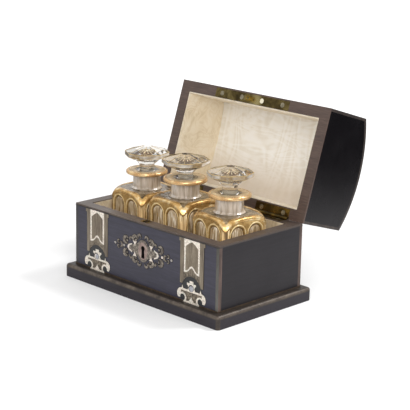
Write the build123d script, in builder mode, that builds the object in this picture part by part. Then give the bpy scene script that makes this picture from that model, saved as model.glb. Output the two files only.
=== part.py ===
from build123d import *
import os
from math import sqrt

os.makedirs("parts", exist_ok=True)

# A domed scent casket, standing open, with three stoppered glass flacons.
# Units are millimetres. X runs along the width, -Y is the front with the keyhole, Z is up.
# The origin is the middle of the plinth's underside. The lid is drawn closed and turned open
# about its hinge when it is written.

# Casket
body_width = 168.0
body_depth = 95.0
plinth_height = 11.0
plinth_overhang = 6.5
plinth_inset = 7.5
case_height = 53.2
wall = 9.5
rim_cap = 1.4
lining = 1.0
lining_recess = 0.8
floor_lining = 1.2

# Metal strips let into the edges
bead_size = 3.0
bead_round = 2.4
plinth_post = 2.6
case_post = 3.2
lid_strip = 2.4

# Lid
lid_gap = 0.3
lid_side_height = 48.6
lid_rise = 10.3
ceiling_edge_height = 46.2
ceiling_rise = 3.3
lid_open_angle = 107.66

# Front ornament, laid on the ebonised wood, about its own middle line
ornament_x = -0.8
inlay_proud = 0.3
strap_inset = 28.3
strap_width = 25.6
strap_foot_height = 25.8
strap_arch_half = 10.2
strap_arch_rise = 7.2
strap_cap_reach = 1.4
strap_cap_height = 3.2
panel_width = 17.0
panel_foot_height = 35.4
panel_foot_bend = 0.8
panel_notch_half = 3.2
panel_notch_step = 2.0
panel_notch_rise = 4.6
panel_border = 1.6
panel_foot_border = 1.7
panel_spring_drop = 6.3
panel_arch_swell = 0.2
panel_apex_drop = 1.7

# The cartouche at each strap's foot: heights are above the plinth
cartouche_width = 31.4
cartouche_height = 18.4
cartouche_band_top = 10.7
cartouche_line = 1.5
cartouche_foot_half = 8.7
volute_radius = 4.9
volute_height = 5.9
volute_tip_height = 2.7
volute_eye_radius = 2.7
volute_eye_x = 9.6
volute_eye_height = 3.4
spur_x = 10.0
spur_half = 1.1
spur_height = 13.2
neck_half = 3.9
neck_notch_radius = 1.4
arm_half = 4.9
arm_height = 16.4
arm_thickness = 1.7
knob_half = 2.0
flame_half = 3.0
flame_waist = 0.9
flame_height = 5.8
dot_radius = 2.3
dot_ring_radius = 3.3
dot_height = 12.3

# Lock and its plates
keyhole_centre_height = 40.0
keyhole_radius = 2.2
keyhole_length = 10.5
keyhole_slot_top = 3.0
keyhole_slot_foot = 3.9
oval_centre_height = 40.9
oval_width = 10.6
oval_height = 14.4
oval_band = 1.9
lens_reach = 16.2
lens_half_height = 6.0
scroll_reach = 33.0
scroll_end_dot = 1.1
scroll_inner_dot_x = 22.4
chevron_root_x = 13.0
chevron_knee_x = 17.2
chevron_knee_height = 2.2
chevron_tip_x = 18.4
chevron_half_height = 3.8
chevron_thickness = 1.1
claw_x = 9.6
claw_root_half = 2.4
claw_root_height = 6.3
claw_tip_height = 1.7
claw_waist = 0.7
lock_width = 30.0
lock_height = 31.0
lock_depth = 6.4
lock_sheet = 0.8
lock_setback = 1.0
bolt_length = 9.0
bolt_height = 5.0
bolt_thickness = 2.4
bolt_nose_radius = 0.9
bolt_nose_margin = 1.5
bolt_nose_drop = 1.3
bolt_top_gap = 0.15
bolt_travel = 4.0
key_pin_radius = 1.1
key_pin_recess = 2.5
staple_width = 2.2
staple_depth = 4.4
staple_foot = 0.9
staple_hole_radius = 1.25
staple_bolt_gap = 0.6
slot_clearance = 0.5
slot_end_clearance = 1.0
selvedge_border = 1.6
selvedge_thickness = 0.8
link_plate_length = 84.0
link_plate_width = 8.0
link_plate_thickness = 1.0
link_screw_pitch = 23.0
link_screws = 4

# Hinges
hinge_inset = 34.5
hinge_length = 37.0
leaf_width = 8.4
leaf_thickness = 1.0
barrel_radius = 2.0
pin_radius = 0.9
pin_clearance = 0.05
barrel_clearance = 0.15
groove_clearance = 0.3
knuckles = 5
knuckle_gap = 0.1
hinge_screw_reach = 12.0
hinge_screw_inset = 4.6

# Screws
screw_head_radius = 2.1
screw_head_depth = 0.9
screw_shank_radius = 0.8
screw_length = 6.5
screw_slot = 0.5
screw_clearance = 0.02

# Flacons
flacon_gap = 3.75
flacon_corner = 4.5
cavity_corner = 2.5
flacon_body_height = 64.1
shoulder_flat_radius = 20.0
shoulder_drop = 7.9
neck_radius = 11.3
neck_height = 12.9
collar_radius = 17.2
collar_thickness = 2.7
collar_round = 1.2
glass_wall = 3.4
glass_floor = 5.0
bore_radius = 7.9
bore_taper = 0.06
flute_width = 15.5
flute_spacing = 17.6
flute_depth = 0.7
flute_foot = 5.0
flute_top_drop = 5.0
flacon_seat_gap = 0.1

# Stoppers
plug_clearance = 0.08
plug_length = 10.5
stem_radius = 6.3
stem_height = 4.6
knop_radius = 7.8
knop_height = 1.8
girdle_radius = 18.7
girdle_drop = 4.4
girdle_thickness = 3.2
bowl_radius = 10.2
bowl_drop = 3.8
table_radius = 3.6
stopper_height = 19.4
stopper_sides = 8
stopper_seat_gap = 0.1

# Each flacon: how far it stands off its place, turn on its base, extra body height, girth, extra stem
flacon_names = ["left", "middle", "right"]
flacon_nudge = {"left": -0.65, "middle": -2.2, "right": 0.25}
flacon_turn = {"left": -6.0, "middle": -2.5, "right": -7.0}
flacon_rise = {"left": 0.0, "middle": 2.0, "right": -1.0}
flacon_girth = {"left": 1.0, "middle": 1.05, "right": 1.0}
stem_extra = {"left": 0.3, "middle": 0.0, "right": 2.0}

# Levels and reaches that follow from the sizes above
half_width = body_width / 2
half_depth = body_depth / 2
rim_z = plinth_height + case_height
wall_top_z = rim_z - rim_cap
inner_half_width = half_width - wall
inner_half_depth = half_depth - wall
floor_z = plinth_height + floor_lining
lid_bottom_z = rim_z + lid_gap
lid_wall_z = lid_bottom_z + rim_cap
lid_corner_z = lid_bottom_z + lid_side_height
arch_radius = (half_depth**2 + lid_rise**2) / (2 * lid_rise)
arch_centre_z = lid_corner_z + lid_rise - arch_radius
seat_z = lid_bottom_z + ceiling_edge_height + lining
ceiling_radius = (inner_half_depth**2 + ceiling_rise**2) / (2 * ceiling_rise)
hinge_axis = Axis((0, half_depth, rim_z), (1, 0, 0))
hinge_centre_x = half_width - hinge_inset
strap_centre_x = half_width - strap_inset
front_plane = Plane.XZ.offset(half_depth)
flacon_count = len(flacon_names)
flacon_side = (2 * (inner_half_width - lining) - (flacon_count + 1) * flacon_gap) / flacon_count
flacon_pitch = flacon_side + flacon_gap
flacon_x = {
    name: (index - (flacon_count - 1) / 2) * flacon_pitch + flacon_nudge[name]
    for index, name in enumerate(flacon_names)
}
sides = ["front", "right", "back", "left"]


def export_piece(builder, label):
    """Write a piece that stays with the case."""
    builder.part.label = label
    export_step(builder.part, f"parts/{label}.step")


def export_on_lid(builder, label):
    """Write a lid piece, turned open about the hinge."""
    turned = builder.part.rotate(hinge_axis, -lid_open_angle)
    turned.label = label
    export_step(turned, f"parts/{label}.step")


def plan_plane(height, turn=0.0):
    """A level plane at a height, turned about Z: 0 faces front, 90 right, 180 back, 270 left."""
    return Plane.XY.offset(height).rotated((0, 0, turn))


def mitred_board(length, reach, thickness, low, high, turn, corner_cut=0.0):
    """A board with mitred ends. Its outer face lies at reach from the middle."""
    with BuildPart() as board:
        with BuildSketch(plan_plane(low, turn)):
            with BuildLine():
                Polyline(
                    (-length / 2, -reach),
                    (length / 2, -reach),
                    (length / 2 - thickness, thickness - reach),
                    (thickness - length / 2, thickness - reach),
                    close=True,
                )
            make_face()
            if corner_cut > 0:
                with Locations((-length / 2, -reach), (length / 2, -reach)):
                    Rectangle(2 * corner_cut, 2 * corner_cut, mode=Mode.SUBTRACT)
        extrude(amount=high - low)
    return board


def frame_ring(width, depth, border, low, high):
    """A level rectangular frame."""
    with BuildPart() as ring:
        with BuildSketch(Plane.XY.offset(low)):
            Rectangle(width, depth)
            Rectangle(width - 2 * border, depth - 2 * border, mode=Mode.SUBTRACT)
        extrude(amount=high - low)
    return ring


def arch_z(y, inset):
    """Height of the lid's outer arch at y, moved inwards by inset."""
    return arch_centre_z + sqrt((arch_radius - inset) ** 2 - y**2)


def ceiling_z(y, inset):
    """Height of the underside of the lid's top panel at y, moved down by inset."""
    centre_z = seat_z + ceiling_rise - ceiling_radius
    return centre_z + sqrt((ceiling_radius - inset) ** 2 - y**2)


def screw_solid(clearance, with_slot):
    """A countersunk screw with its head level with z = 0, or the seat for it."""
    head = screw_head_radius + clearance
    shank = screw_shank_radius + clearance
    length = screw_length + clearance
    with BuildPart() as screw:
        with BuildSketch(Plane.XZ):
            with BuildLine():
                Polyline(
                    (0, 0),
                    (head, 0),
                    (shank, -screw_head_depth),
                    (shank, -length),
                    (0, -length),
                    close=True,
                )
            make_face()
        revolve(axis=Axis.Z)
        if with_slot:
            Box(2 * screw_head_radius + screw_slot, screw_slot, screw_slot, mode=Mode.SUBTRACT)
    return screw.part


screw = screw_solid(0, True)
screw_seat = screw_solid(screw_clearance, False)


# Plinth: a board framed by four mitred mouldings with a metal bead along the upper edge
plinth_width = body_width + 2 * plinth_overhang
plinth_depth = body_depth + 2 * plinth_overhang
moulding_width = plinth_overhang + plinth_inset

with BuildPart() as base_board:
    with BuildSketch():
        Rectangle(plinth_width - 2 * moulding_width, plinth_depth - 2 * moulding_width)
    extrude(amount=plinth_height)
export_piece(base_board, "base_board")

with BuildPart() as plinth_stringing:
    with BuildSketch():
        RectangleRounded(plinth_width, plinth_depth, plinth_post)
    extrude(amount=plinth_height)
    fillet(plinth_stringing.edges().group_by(Axis.Z)[-1], bead_round)
    with BuildSketch():
        Rectangle(plinth_width - 2 * bead_size, plinth_depth - 2 * bead_size)
    extrude(amount=plinth_height, mode=Mode.SUBTRACT)
    with BuildSketch():
        Rectangle(plinth_width - 2 * plinth_post, plinth_depth)
        Rectangle(plinth_width, plinth_depth - 2 * plinth_post)
    extrude(amount=plinth_height - bead_size, mode=Mode.SUBTRACT)
export_piece(plinth_stringing, "plinth_stringing")

for index, side in enumerate(sides):
    turn = 90 * index
    long_side = side in ("front", "back")
    length = plinth_width if long_side else plinth_depth
    reach = plinth_depth / 2 if long_side else plinth_width / 2
    with BuildPart() as moulding:
        add(mitred_board(length, reach, moulding_width, 0, plinth_height, turn, plinth_post).part)
        with BuildSketch(plan_plane(plinth_height - bead_size, turn)):
            with Locations((0, -reach)):
                Rectangle(length, 2 * bead_size)
            with Locations((-length / 2, 0), (length / 2, 0)):
                Rectangle(2 * bead_size, 2 * reach)
        extrude(amount=bead_size, mode=Mode.SUBTRACT)
    export_piece(moulding, f"plinth_{side}_moulding")


# Front ornament: shapes shared by the inlaid pieces, drawn about their own middle lines
def bracket_line(half, foot):
    """The lower edge of a strap panel: level ends that rise in a double bend to a point."""
    knee = (panel_notch_half, foot + panel_notch_step)
    peak = (0, foot + panel_notch_rise)
    with BuildLine() as line:
        ThreePointArc((half, foot), ((half + panel_notch_half) / 2, foot + panel_foot_bend / 2), knee)
        ThreePointArc(
            knee,
            (panel_notch_half / 2, foot + (panel_notch_step + panel_notch_rise) / 2 + panel_foot_bend / 2),
            peak,
        )
        mirror(about=Plane.YZ)
    return line.line


panel_half = panel_width / 2
opening_half = panel_half - panel_border
spring_z = wall_top_z - panel_spring_drop
apex_z = wall_top_z - panel_apex_drop

with BuildSketch() as panel_outline:
    with BuildLine():
        add(bracket_line(panel_half, panel_foot_height))
        Polyline(
            (-panel_half, panel_foot_height),
            (-panel_half, wall_top_z),
            (panel_half, wall_top_z),
            (panel_half, panel_foot_height),
        )
    make_face()

with BuildSketch() as panel_opening:
    with BuildLine():
        add(bracket_line(opening_half, panel_foot_height + panel_foot_border))
        Line((opening_half, panel_foot_height + panel_foot_border), (opening_half, spring_z))
        Line((-opening_half, panel_foot_height + panel_foot_border), (-opening_half, spring_z))
        ThreePointArc(
            (opening_half, spring_z),
            (opening_half / 2 + panel_arch_swell, (spring_z + apex_z) / 2 + panel_arch_swell),
            (0, apex_z),
        )
        ThreePointArc(
            (-opening_half, spring_z),
            (-opening_half / 2 - panel_arch_swell, (spring_z + apex_z) / 2 + panel_arch_swell),
            (0, apex_z),
        )
    make_face()

with BuildSketch() as strap_outline:
    with BuildLine():
        Polyline(
            (strap_arch_half, strap_foot_height),
            (strap_width / 2, strap_foot_height),
            (strap_width / 2, wall_top_z - strap_cap_height),
            (strap_width / 2 + strap_cap_reach, wall_top_z - strap_cap_height),
            (strap_width / 2 + strap_cap_reach, wall_top_z),
            (-strap_width / 2 - strap_cap_reach, wall_top_z),
            (-strap_width / 2 - strap_cap_reach, wall_top_z - strap_cap_height),
            (-strap_width / 2, wall_top_z - strap_cap_height),
            (-strap_width / 2, strap_foot_height),
            (-strap_arch_half, strap_foot_height),
        )
        ThreePointArc(
            (-strap_arch_half, strap_foot_height),
            (0, strap_foot_height + strap_arch_rise),
            (strap_arch_half, strap_foot_height),
        )
    make_face()

# The foot of each strap: a shield on hooked volutes, with two spurs, a neck, arms and a knob
cart_half = cartouche_width / 2
volute_x = cart_half - volute_radius
volute_spots = [(-volute_x, volute_height), (volute_x, volute_height)]
eye_spots = [(-volute_eye_x, volute_eye_height), (volute_eye_x, volute_eye_height)]
notch_spots = [
    (-neck_half - neck_notch_radius / 2, (cartouche_band_top + arm_height - arm_thickness) / 2),
    (neck_half + neck_notch_radius / 2, (cartouche_band_top + arm_height - arm_thickness) / 2),
]
with BuildSketch() as cartouche_outline:
    Rectangle(2 * volute_x, cartouche_band_top, align=(Align.CENTER, Align.MIN))
    with Locations(*volute_spots):
        Circle(volute_radius)
    Rectangle(2 * neck_half, arm_height, align=(Align.CENTER, Align.MIN))
    with Locations((0, arm_height)):
        Rectangle(2 * arm_half, arm_thickness, align=(Align.CENTER, Align.MAX))
    Rectangle(2 * knob_half, cartouche_height, align=(Align.CENTER, Align.MIN))
    for flip in (-1, 1):
        with BuildLine():
            Polyline(
                (flip * (spur_x - spur_half), cartouche_band_top - spur_half),
                (flip * (spur_x + spur_half), cartouche_band_top - spur_half),
                (flip * spur_x, spur_height),
                close=True,
            )
        make_face()
    with Locations(*notch_spots):
        Circle(neck_notch_radius, mode=Mode.SUBTRACT)
    with Locations(*eye_spots):
        Circle(volute_eye_radius, mode=Mode.SUBTRACT)
    with Locations((cartouche_foot_half, 0)):
        Rectangle(cart_half, volute_tip_height, align=(Align.MIN, Align.MIN), mode=Mode.SUBTRACT)
    with Locations((-cartouche_foot_half, 0)):
        Rectangle(cart_half, volute_tip_height, align=(Align.MAX, Align.MIN), mode=Mode.SUBTRACT)

with BuildSketch() as cartouche_field:
    with Locations((0, cartouche_line)):
        Rectangle(
            2 * volute_x + cartouche_line,
            cartouche_band_top - 2 * cartouche_line,
            align=(Align.CENTER, Align.MIN),
        )
    with Locations(*eye_spots):
        Circle(volute_eye_radius + cartouche_line, mode=Mode.SUBTRACT)
    with Locations((0, dot_height)):
        Circle(dot_ring_radius, mode=Mode.SUBTRACT)
    with BuildLine():
        Polyline(
            (-flame_half, cartouche_line),
            (-flame_waist, (cartouche_line + flame_height) / 2),
            (0, flame_height),
            (flame_waist, (cartouche_line + flame_height) / 2),
            (flame_half, cartouche_line),
            close=True,
        )
    make_face(mode=Mode.SUBTRACT)

with BuildSketch() as cartouche_dot:
    with Locations((0, dot_height)):
        Circle(dot_radius)

for side, centre in {"left": -strap_centre_x, "right": strap_centre_x}.items():
    strap_spot = (ornament_x + centre, 0)
    cartouche_spot = (ornament_x + centre, plinth_height)
    with BuildPart() as strap_brass:
        with BuildSketch(front_plane):
            with Locations(strap_spot):
                add(strap_outline.sketch)
                add(panel_outline.sketch, mode=Mode.SUBTRACT)
                add(panel_opening.sketch)
            with Locations(cartouche_spot):
                add(cartouche_outline.sketch, mode=Mode.SUBTRACT)
                add(cartouche_field.sketch)
        extrude(amount=inlay_proud)
    export_piece(strap_brass, f"{side}_strap_brass")

    with BuildPart() as strap_pearl:
        with BuildSketch(front_plane):
            with Locations(strap_spot):
                add(panel_outline.sketch)
                add(panel_opening.sketch, mode=Mode.SUBTRACT)
        extrude(amount=inlay_proud)
    export_piece(strap_pearl, f"{side}_strap_pearl")

    with BuildPart() as cartouche_pearl:
        with BuildSketch(front_plane):
            with Locations(cartouche_spot):
                add(cartouche_outline.sketch)
                add(cartouche_field.sketch, mode=Mode.SUBTRACT)
                add(cartouche_dot.sketch, mode=Mode.SUBTRACT)
        extrude(amount=inlay_proud)
    export_piece(cartouche_pearl, f"{side}_cartouche_pearl")

with BuildPart() as cartouche_studs:
    with BuildSketch(front_plane):
        with Locations(
            (ornament_x - strap_centre_x, plinth_height),
            (ornament_x + strap_centre_x, plinth_height),
        ):
            add(cartouche_dot.sketch)
    extrude(amount=inlay_proud)
export_piece(cartouche_studs, "cartouche_studs")


# Keyhole and its scrolled surround
bow_height = keyhole_length / 2 - keyhole_radius
with BuildSketch() as keyhole:
    with Locations((0, bow_height)):
        Circle(keyhole_radius)
    with BuildLine():
        Polyline(
            (-keyhole_slot_top / 2, bow_height),
            (keyhole_slot_top / 2, bow_height),
            (keyhole_slot_foot / 2, -keyhole_length / 2),
            (-keyhole_slot_foot / 2, -keyhole_length / 2),
            close=True,
        )
    make_face()

key_pin_z = keyhole_centre_height + bow_height

with BuildPart() as keyhole_ring:
    with BuildSketch(front_plane):
        with Locations((ornament_x, oval_centre_height)):
            Ellipse(oval_width / 2, oval_height / 2)
        with Locations((ornament_x, keyhole_centre_height)):
            add(keyhole.sketch, mode=Mode.SUBTRACT)
    extrude(amount=inlay_proud)
export_piece(keyhole_ring, "keyhole_ring")

# The surround, about the oval's middle: an oval band, a pointed lens to each side, leafy scrolls
# that grow smaller outwards, pearl claws and chevrons between them, and loose dots at the ends.
# Each scroll of a quarter: distance along, height, radius, and the bearing that it opens to.
scroll_quarter = [
    (9.6, 8.6, 3.3, 222),
    (4.2, 11.4, 2.2, 250),
    (20.4, 5.4, 3.5, 192),
    (14.3, 7.6, 1.8, 245),
    (29.2, 2.1, 1.6, 180),
]
scroll_middle = [(26.0, 0, 2.5, 0)]
scroll_hollow_share = 0.62
scroll_shift_share = 0.5
scroll_eye_share = 0.3
scroll_eye_least = 3.0


def c_scroll(radius, bearing):
    """A crescent that opens towards a bearing, with an eye in the larger ones."""
    with BuildSketch() as crescent:
        Circle(radius)
        with Locations(Location((0, 0, 0), (0, 0, bearing))):
            with Locations((scroll_shift_share * radius, 0)):
                Circle(scroll_hollow_share * radius, mode=Mode.SUBTRACT)
                if radius > scroll_eye_least:
                    Circle(scroll_eye_share * radius)
    return crescent.sketch


def quarters(spots):
    """The spots of one quarter repeated in all four, with their bearings turned over too."""
    placed = []
    for x, z, radius, bearing in spots:
        for flip_x in (1, -1):
            for flip_z in (1, -1):
                across = bearing if flip_x > 0 else 180 - bearing
                placed.append((flip_x * x, flip_z * z, radius, flip_z * across))
    return placed


def halves(spots):
    """The spots on the middle line repeated on the other side."""
    placed = []
    for x, z, radius, bearing in spots:
        placed.append((x, z, radius, bearing))
        placed.append((-x, z, radius, 180 - bearing))
    return placed


with BuildSketch() as brass_scrollwork:
    Ellipse(oval_width / 2 + oval_band, oval_height / 2 + oval_band)
    with BuildLine():
        ThreePointArc((-lens_reach, 0), (0, lens_half_height), (lens_reach, 0))
        ThreePointArc((-lens_reach, 0), (0, -lens_half_height), (lens_reach, 0))
    make_face()
    for x, z, radius, bearing in quarters(scroll_quarter) + halves(scroll_middle):
        with Locations((x, z)):
            add(c_scroll(radius, bearing))

with BuildSketch() as pearl_scrollwork:
    claw_waist_height = (claw_root_height + claw_tip_height) / 2
    for flip_x in (-1, 1):
        for flip_z in (-1, 1):
            tip = (flip_x * claw_x, flip_z * claw_tip_height)
            with BuildLine():
                roots = Line(
                    (flip_x * claw_x - claw_root_half, flip_z * claw_root_height),
                    (flip_x * claw_x + claw_root_half, flip_z * claw_root_height),
                )
                ThreePointArc(roots @ 0, (flip_x * claw_x - claw_waist, flip_z * claw_waist_height), tip)
                ThreePointArc(roots @ 1, (flip_x * claw_x + claw_waist, flip_z * claw_waist_height), tip)
            make_face()
    knee_inner_x = chevron_knee_x - chevron_thickness
    for flip in (-1, 1):
        with BuildLine():
            Polyline(
                (flip * chevron_root_x, chevron_half_height),
                (flip * chevron_knee_x, chevron_knee_height),
                (flip * chevron_tip_x, 0),
                (flip * chevron_knee_x, -chevron_knee_height),
                (flip * chevron_root_x, -chevron_half_height),
                (flip * chevron_root_x, -chevron_half_height + chevron_thickness),
                (flip * knee_inner_x, -chevron_knee_height + chevron_thickness),
                (flip * knee_inner_x, chevron_knee_height - chevron_thickness),
                (flip * chevron_root_x, chevron_half_height - chevron_thickness),
                close=True,
            )
        make_face()
    with Locations(
        (-scroll_reach, 0),
        (scroll_reach, 0),
        (-scroll_inner_dot_x, 0),
        (scroll_inner_dot_x, 0),
    ):
        Circle(scroll_end_dot)

oval_spot = (ornament_x, oval_centre_height)
with BuildPart() as escutcheon_brass:
    with BuildSketch(front_plane):
        with Locations(oval_spot):
            add(brass_scrollwork.sketch)
            add(pearl_scrollwork.sketch, mode=Mode.SUBTRACT)
            Ellipse(oval_width / 2, oval_height / 2, mode=Mode.SUBTRACT)
    extrude(amount=inlay_proud)
export_piece(escutcheon_brass, "escutcheon_brass")

with BuildPart() as escutcheon_pearl:
    with BuildSketch(front_plane):
        with Locations(oval_spot):
            add(pearl_scrollwork.sketch)
    extrude(amount=inlay_proud)
export_piece(escutcheon_pearl, "escutcheon_pearl")


# Lock: a brass box let into the front wall from inside, under a small slotted plate on the rim
lock_back_y = -inner_half_depth - lock_setback
lock_front_y = lock_back_y - lock_depth
lock_bottom_z = wall_top_z - lock_height
staple_x = ornament_x - staple_width
staple_y = (lock_back_y + lock_front_y) / 2
slot_length = staple_width + 2 * slot_end_clearance
slot_depth = staple_depth + 2 * slot_clearance

with BuildPart() as lock_case:
    with BuildSketch(Plane.XY.offset(lock_bottom_z)):
        with Locations((ornament_x, (lock_back_y + lock_front_y - lock_sheet) / 2)):
            Rectangle(lock_width, lock_depth - lock_sheet)
    extrude(amount=lock_height)
    with BuildSketch(Plane.XY.offset(lock_bottom_z + lock_sheet)):
        with Locations((ornament_x, (lock_back_y + lock_front_y + lock_sheet) / 2)):
            Rectangle(lock_width - 2 * lock_sheet, lock_depth - lock_sheet)
    extrude(amount=lock_height - 2 * lock_sheet, mode=Mode.SUBTRACT)
    with BuildSketch(Plane.XY.offset(wall_top_z - lock_sheet)):
        with Locations((staple_x, staple_y)):
            Rectangle(slot_length, slot_depth)
    extrude(amount=lock_sheet, mode=Mode.SUBTRACT)
    with BuildSketch(Plane.XZ.offset(-lock_front_y)):
        with Locations((ornament_x, keyhole_centre_height)):
            add(keyhole.sketch)
    extrude(amount=-lock_sheet, mode=Mode.SUBTRACT)
export_piece(lock_case, "lock_case")

with BuildPart() as lock_cover_plate:
    with BuildSketch(Plane.XY.offset(lock_bottom_z)):
        with Locations((ornament_x, lock_back_y - lock_sheet / 2)):
            Rectangle(lock_width, lock_sheet)
    extrude(amount=lock_height)
export_piece(lock_cover_plate, "lock_cover_plate")

with BuildPart() as lock_key_pin:
    with BuildSketch(Plane.XZ.offset(-(lock_back_y - lock_sheet))):
        with Locations((ornament_x, key_pin_z)):
            Circle(key_pin_radius)
    extrude(amount=half_depth + lock_back_y - lock_sheet - key_pin_recess)
export_piece(lock_key_pin, "lock_key_pin")

bolt_top_z = wall_top_z - lock_sheet - bolt_top_gap
nose_z = bolt_top_z - bolt_nose_drop
nose_tip_x = staple_x + staple_width / 2 + staple_bolt_gap
bolt_nose_length = bolt_travel + bolt_nose_margin
with BuildPart() as lock_bolt:
    with BuildSketch(Plane.XY.offset(bolt_top_z - bolt_height)):
        with Locations((nose_tip_x + bolt_nose_length, staple_y)):
            Rectangle(bolt_length, bolt_thickness, align=(Align.MIN, Align.CENTER))
    extrude(amount=bolt_height)
    with BuildSketch(Plane.YZ.offset(nose_tip_x)):
        with Locations((staple_y, nose_z)):
            Circle(bolt_nose_radius)
    extrude(amount=bolt_nose_length)
export_piece(lock_bolt, "lock_bolt")

with BuildPart() as lock_selvedge:
    with BuildSketch(Plane.XY.offset(rim_z - selvedge_thickness)):
        with Locations((staple_x, staple_y)):
            RectangleRounded(
                slot_length + 2 * selvedge_border + slot_depth / 2,
                slot_depth + selvedge_border,
                slot_depth / 2,
            )
            Rectangle(slot_length, slot_depth, mode=Mode.SUBTRACT)
    extrude(amount=selvedge_thickness)
export_piece(lock_selvedge, "lock_selvedge")


# Hinges: butt hinges let into both rims, with the barrel at the outer back corner
pitch = hinge_length / knuckles
hinge_sides = {"left": -hinge_centre_x, "right": hinge_centre_x}


def barrel(centre_x, first, radius, extra):
    """Cylinders along the hinge at every second knuckle, counted from first."""
    with BuildPart() as cylinders:
        for index in range(first, knuckles, 2):
            start = centre_x - hinge_length / 2 + index * pitch + knuckle_gap / 2 - extra
            with BuildSketch(Plane.YZ.offset(start)):
                with Locations((half_depth, rim_z)):
                    Circle(radius)
            extrude(amount=pitch - knuckle_gap + 2 * extra)
    return cylinders.part


def hinge_groove(centre_x):
    """Room for the barrel in the wood."""
    with BuildPart() as groove:
        with BuildSketch(Plane.YZ.offset(centre_x - hinge_length / 2 - groove_clearance)):
            with Locations((half_depth, rim_z)):
                Circle(barrel_radius + groove_clearance)
        extrude(amount=hinge_length + 2 * groove_clearance)
    return groove.part


def hinge_leaf(centre_x, level, first):
    """A leaf with its top or bottom at level, and the knuckles that belong to it."""
    low = level - leaf_thickness if level == rim_z else level
    with BuildPart() as leaf:
        with BuildSketch(Plane.XY.offset(low)):
            with Locations((centre_x, half_depth - leaf_width / 2)):
                Rectangle(hinge_length, leaf_width)
        extrude(amount=leaf_thickness)
        add(barrel(centre_x, 1 - first, barrel_radius + barrel_clearance, knuckle_gap), mode=Mode.SUBTRACT)
        add(barrel(centre_x, first, barrel_radius, 0))
        with BuildSketch(Plane.YZ.offset(centre_x - hinge_length / 2)):
            with Locations((half_depth, rim_z)):
                Circle(pin_radius + pin_clearance)
        extrude(amount=hinge_length, mode=Mode.SUBTRACT)
        with Locations(*screw_spots(centre_x, level)):
            add(screw_seat, mode=Mode.SUBTRACT)
    return leaf


def screw_spots(centre_x, level):
    """Where the two screws of a leaf stand: head up in the case, head down in the lid."""
    flip = 0 if level == rim_z else 180
    y = half_depth - hinge_screw_inset
    return [
        Location((centre_x + reach, y, level), (flip, 0, 0))
        for reach in (-hinge_screw_reach, hinge_screw_reach)
    ]


def leaf_bed(centre_x, level):
    """The recess for a leaf."""
    low = level - leaf_thickness if level == rim_z else level
    with BuildPart() as bed:
        with BuildSketch(Plane.XY.offset(low)):
            with Locations((centre_x, half_depth - leaf_width / 2)):
                Rectangle(hinge_length, leaf_width)
        extrude(amount=leaf_thickness)
    return bed.part


for side, centre_x in hinge_sides.items():
    export_piece(hinge_leaf(centre_x, rim_z, 0), f"{side}_hinge_case_leaf")
    export_on_lid(hinge_leaf(centre_x, lid_bottom_z, 1), f"{side}_hinge_lid_leaf")
    with BuildPart() as hinge_pin:
        with BuildSketch(Plane.YZ.offset(centre_x - hinge_length / 2)):
            with Locations((half_depth, rim_z)):
                Circle(pin_radius)
        extrude(amount=hinge_length)
    export_piece(hinge_pin, f"{side}_hinge_pin")

case_screw_spots = screw_spots(-hinge_centre_x, rim_z) + screw_spots(hinge_centre_x, rim_z)
lid_screw_spots = screw_spots(-hinge_centre_x, lid_bottom_z) + screw_spots(hinge_centre_x, lid_bottom_z)

with BuildPart() as hinge_case_screws:
    with Locations(*case_screw_spots):
        add(screw)
export_piece(hinge_case_screws, "hinge_case_screws")

with BuildPart() as hinge_lid_screws:
    with Locations(*lid_screw_spots):
        add(screw)
export_on_lid(hinge_lid_screws, "hinge_lid_screws")


# Case walls, mitred at the corners, with a rebate for the corner posts
for index, side in enumerate(sides):
    turn = 90 * index
    long_side = side in ("front", "back")
    length = body_width if long_side else body_depth
    reach = half_depth if long_side else half_width
    with BuildPart() as case_wall:
        add(mitred_board(length, reach, wall, plinth_height, wall_top_z, turn, case_post).part)
        if side == "front":
            with BuildSketch(Plane.XY.offset(lock_bottom_z)):
                with Locations((ornament_x, lock_front_y)):
                    Rectangle(lock_width, lock_depth + lock_setback, align=(Align.CENTER, Align.MIN))
            extrude(amount=lock_height, mode=Mode.SUBTRACT)
            with BuildSketch(front_plane):
                with Locations((ornament_x, keyhole_centre_height)):
                    add(keyhole.sketch)
            extrude(amount=-(half_depth + lock_front_y), mode=Mode.SUBTRACT)
        if side == "back":
            for centre_x in hinge_sides.values():
                add(hinge_groove(centre_x), mode=Mode.SUBTRACT)
            with Locations(*case_screw_spots):
                add(screw_seat, mode=Mode.SUBTRACT)
    export_piece(case_wall, f"case_{side}_wall")

with BuildPart() as case_corner_stringing:
    with BuildSketch(Plane.XY.offset(plinth_height)):
        with Locations(
            (half_width - case_post / 2, half_depth - case_post / 2),
            (half_width - case_post / 2, case_post / 2 - half_depth),
            (case_post / 2 - half_width, half_depth - case_post / 2),
            (case_post / 2 - half_width, case_post / 2 - half_depth),
        ):
            Rectangle(case_post, case_post)
    extrude(amount=wall_top_z - plinth_height)
export_piece(case_corner_stringing, "case_corner_stringing")

with BuildPart() as case_rim:
    add(frame_ring(body_width, body_depth, wall, wall_top_z, rim_z).part)
    for centre_x in hinge_sides.values():
        add(leaf_bed(centre_x, rim_z), mode=Mode.SUBTRACT)
        add(hinge_groove(centre_x), mode=Mode.SUBTRACT)
    with Locations(*case_screw_spots):
        add(screw_seat, mode=Mode.SUBTRACT)
    with BuildSketch(Plane.XY.offset(wall_top_z)):
        with Locations((staple_x, staple_y)):
            Rectangle(slot_length, slot_depth)
    extrude(amount=rim_cap, mode=Mode.SUBTRACT)
    add(lock_selvedge.part, mode=Mode.SUBTRACT)
export_piece(case_rim, "case_rim")

with BuildPart() as case_floor_lining:
    with BuildSketch(Plane.XY.offset(plinth_height)):
        Rectangle(2 * inner_half_width, 2 * inner_half_depth)
    extrude(amount=floor_lining)
export_piece(case_floor_lining, "case_floor_lining")

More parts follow.
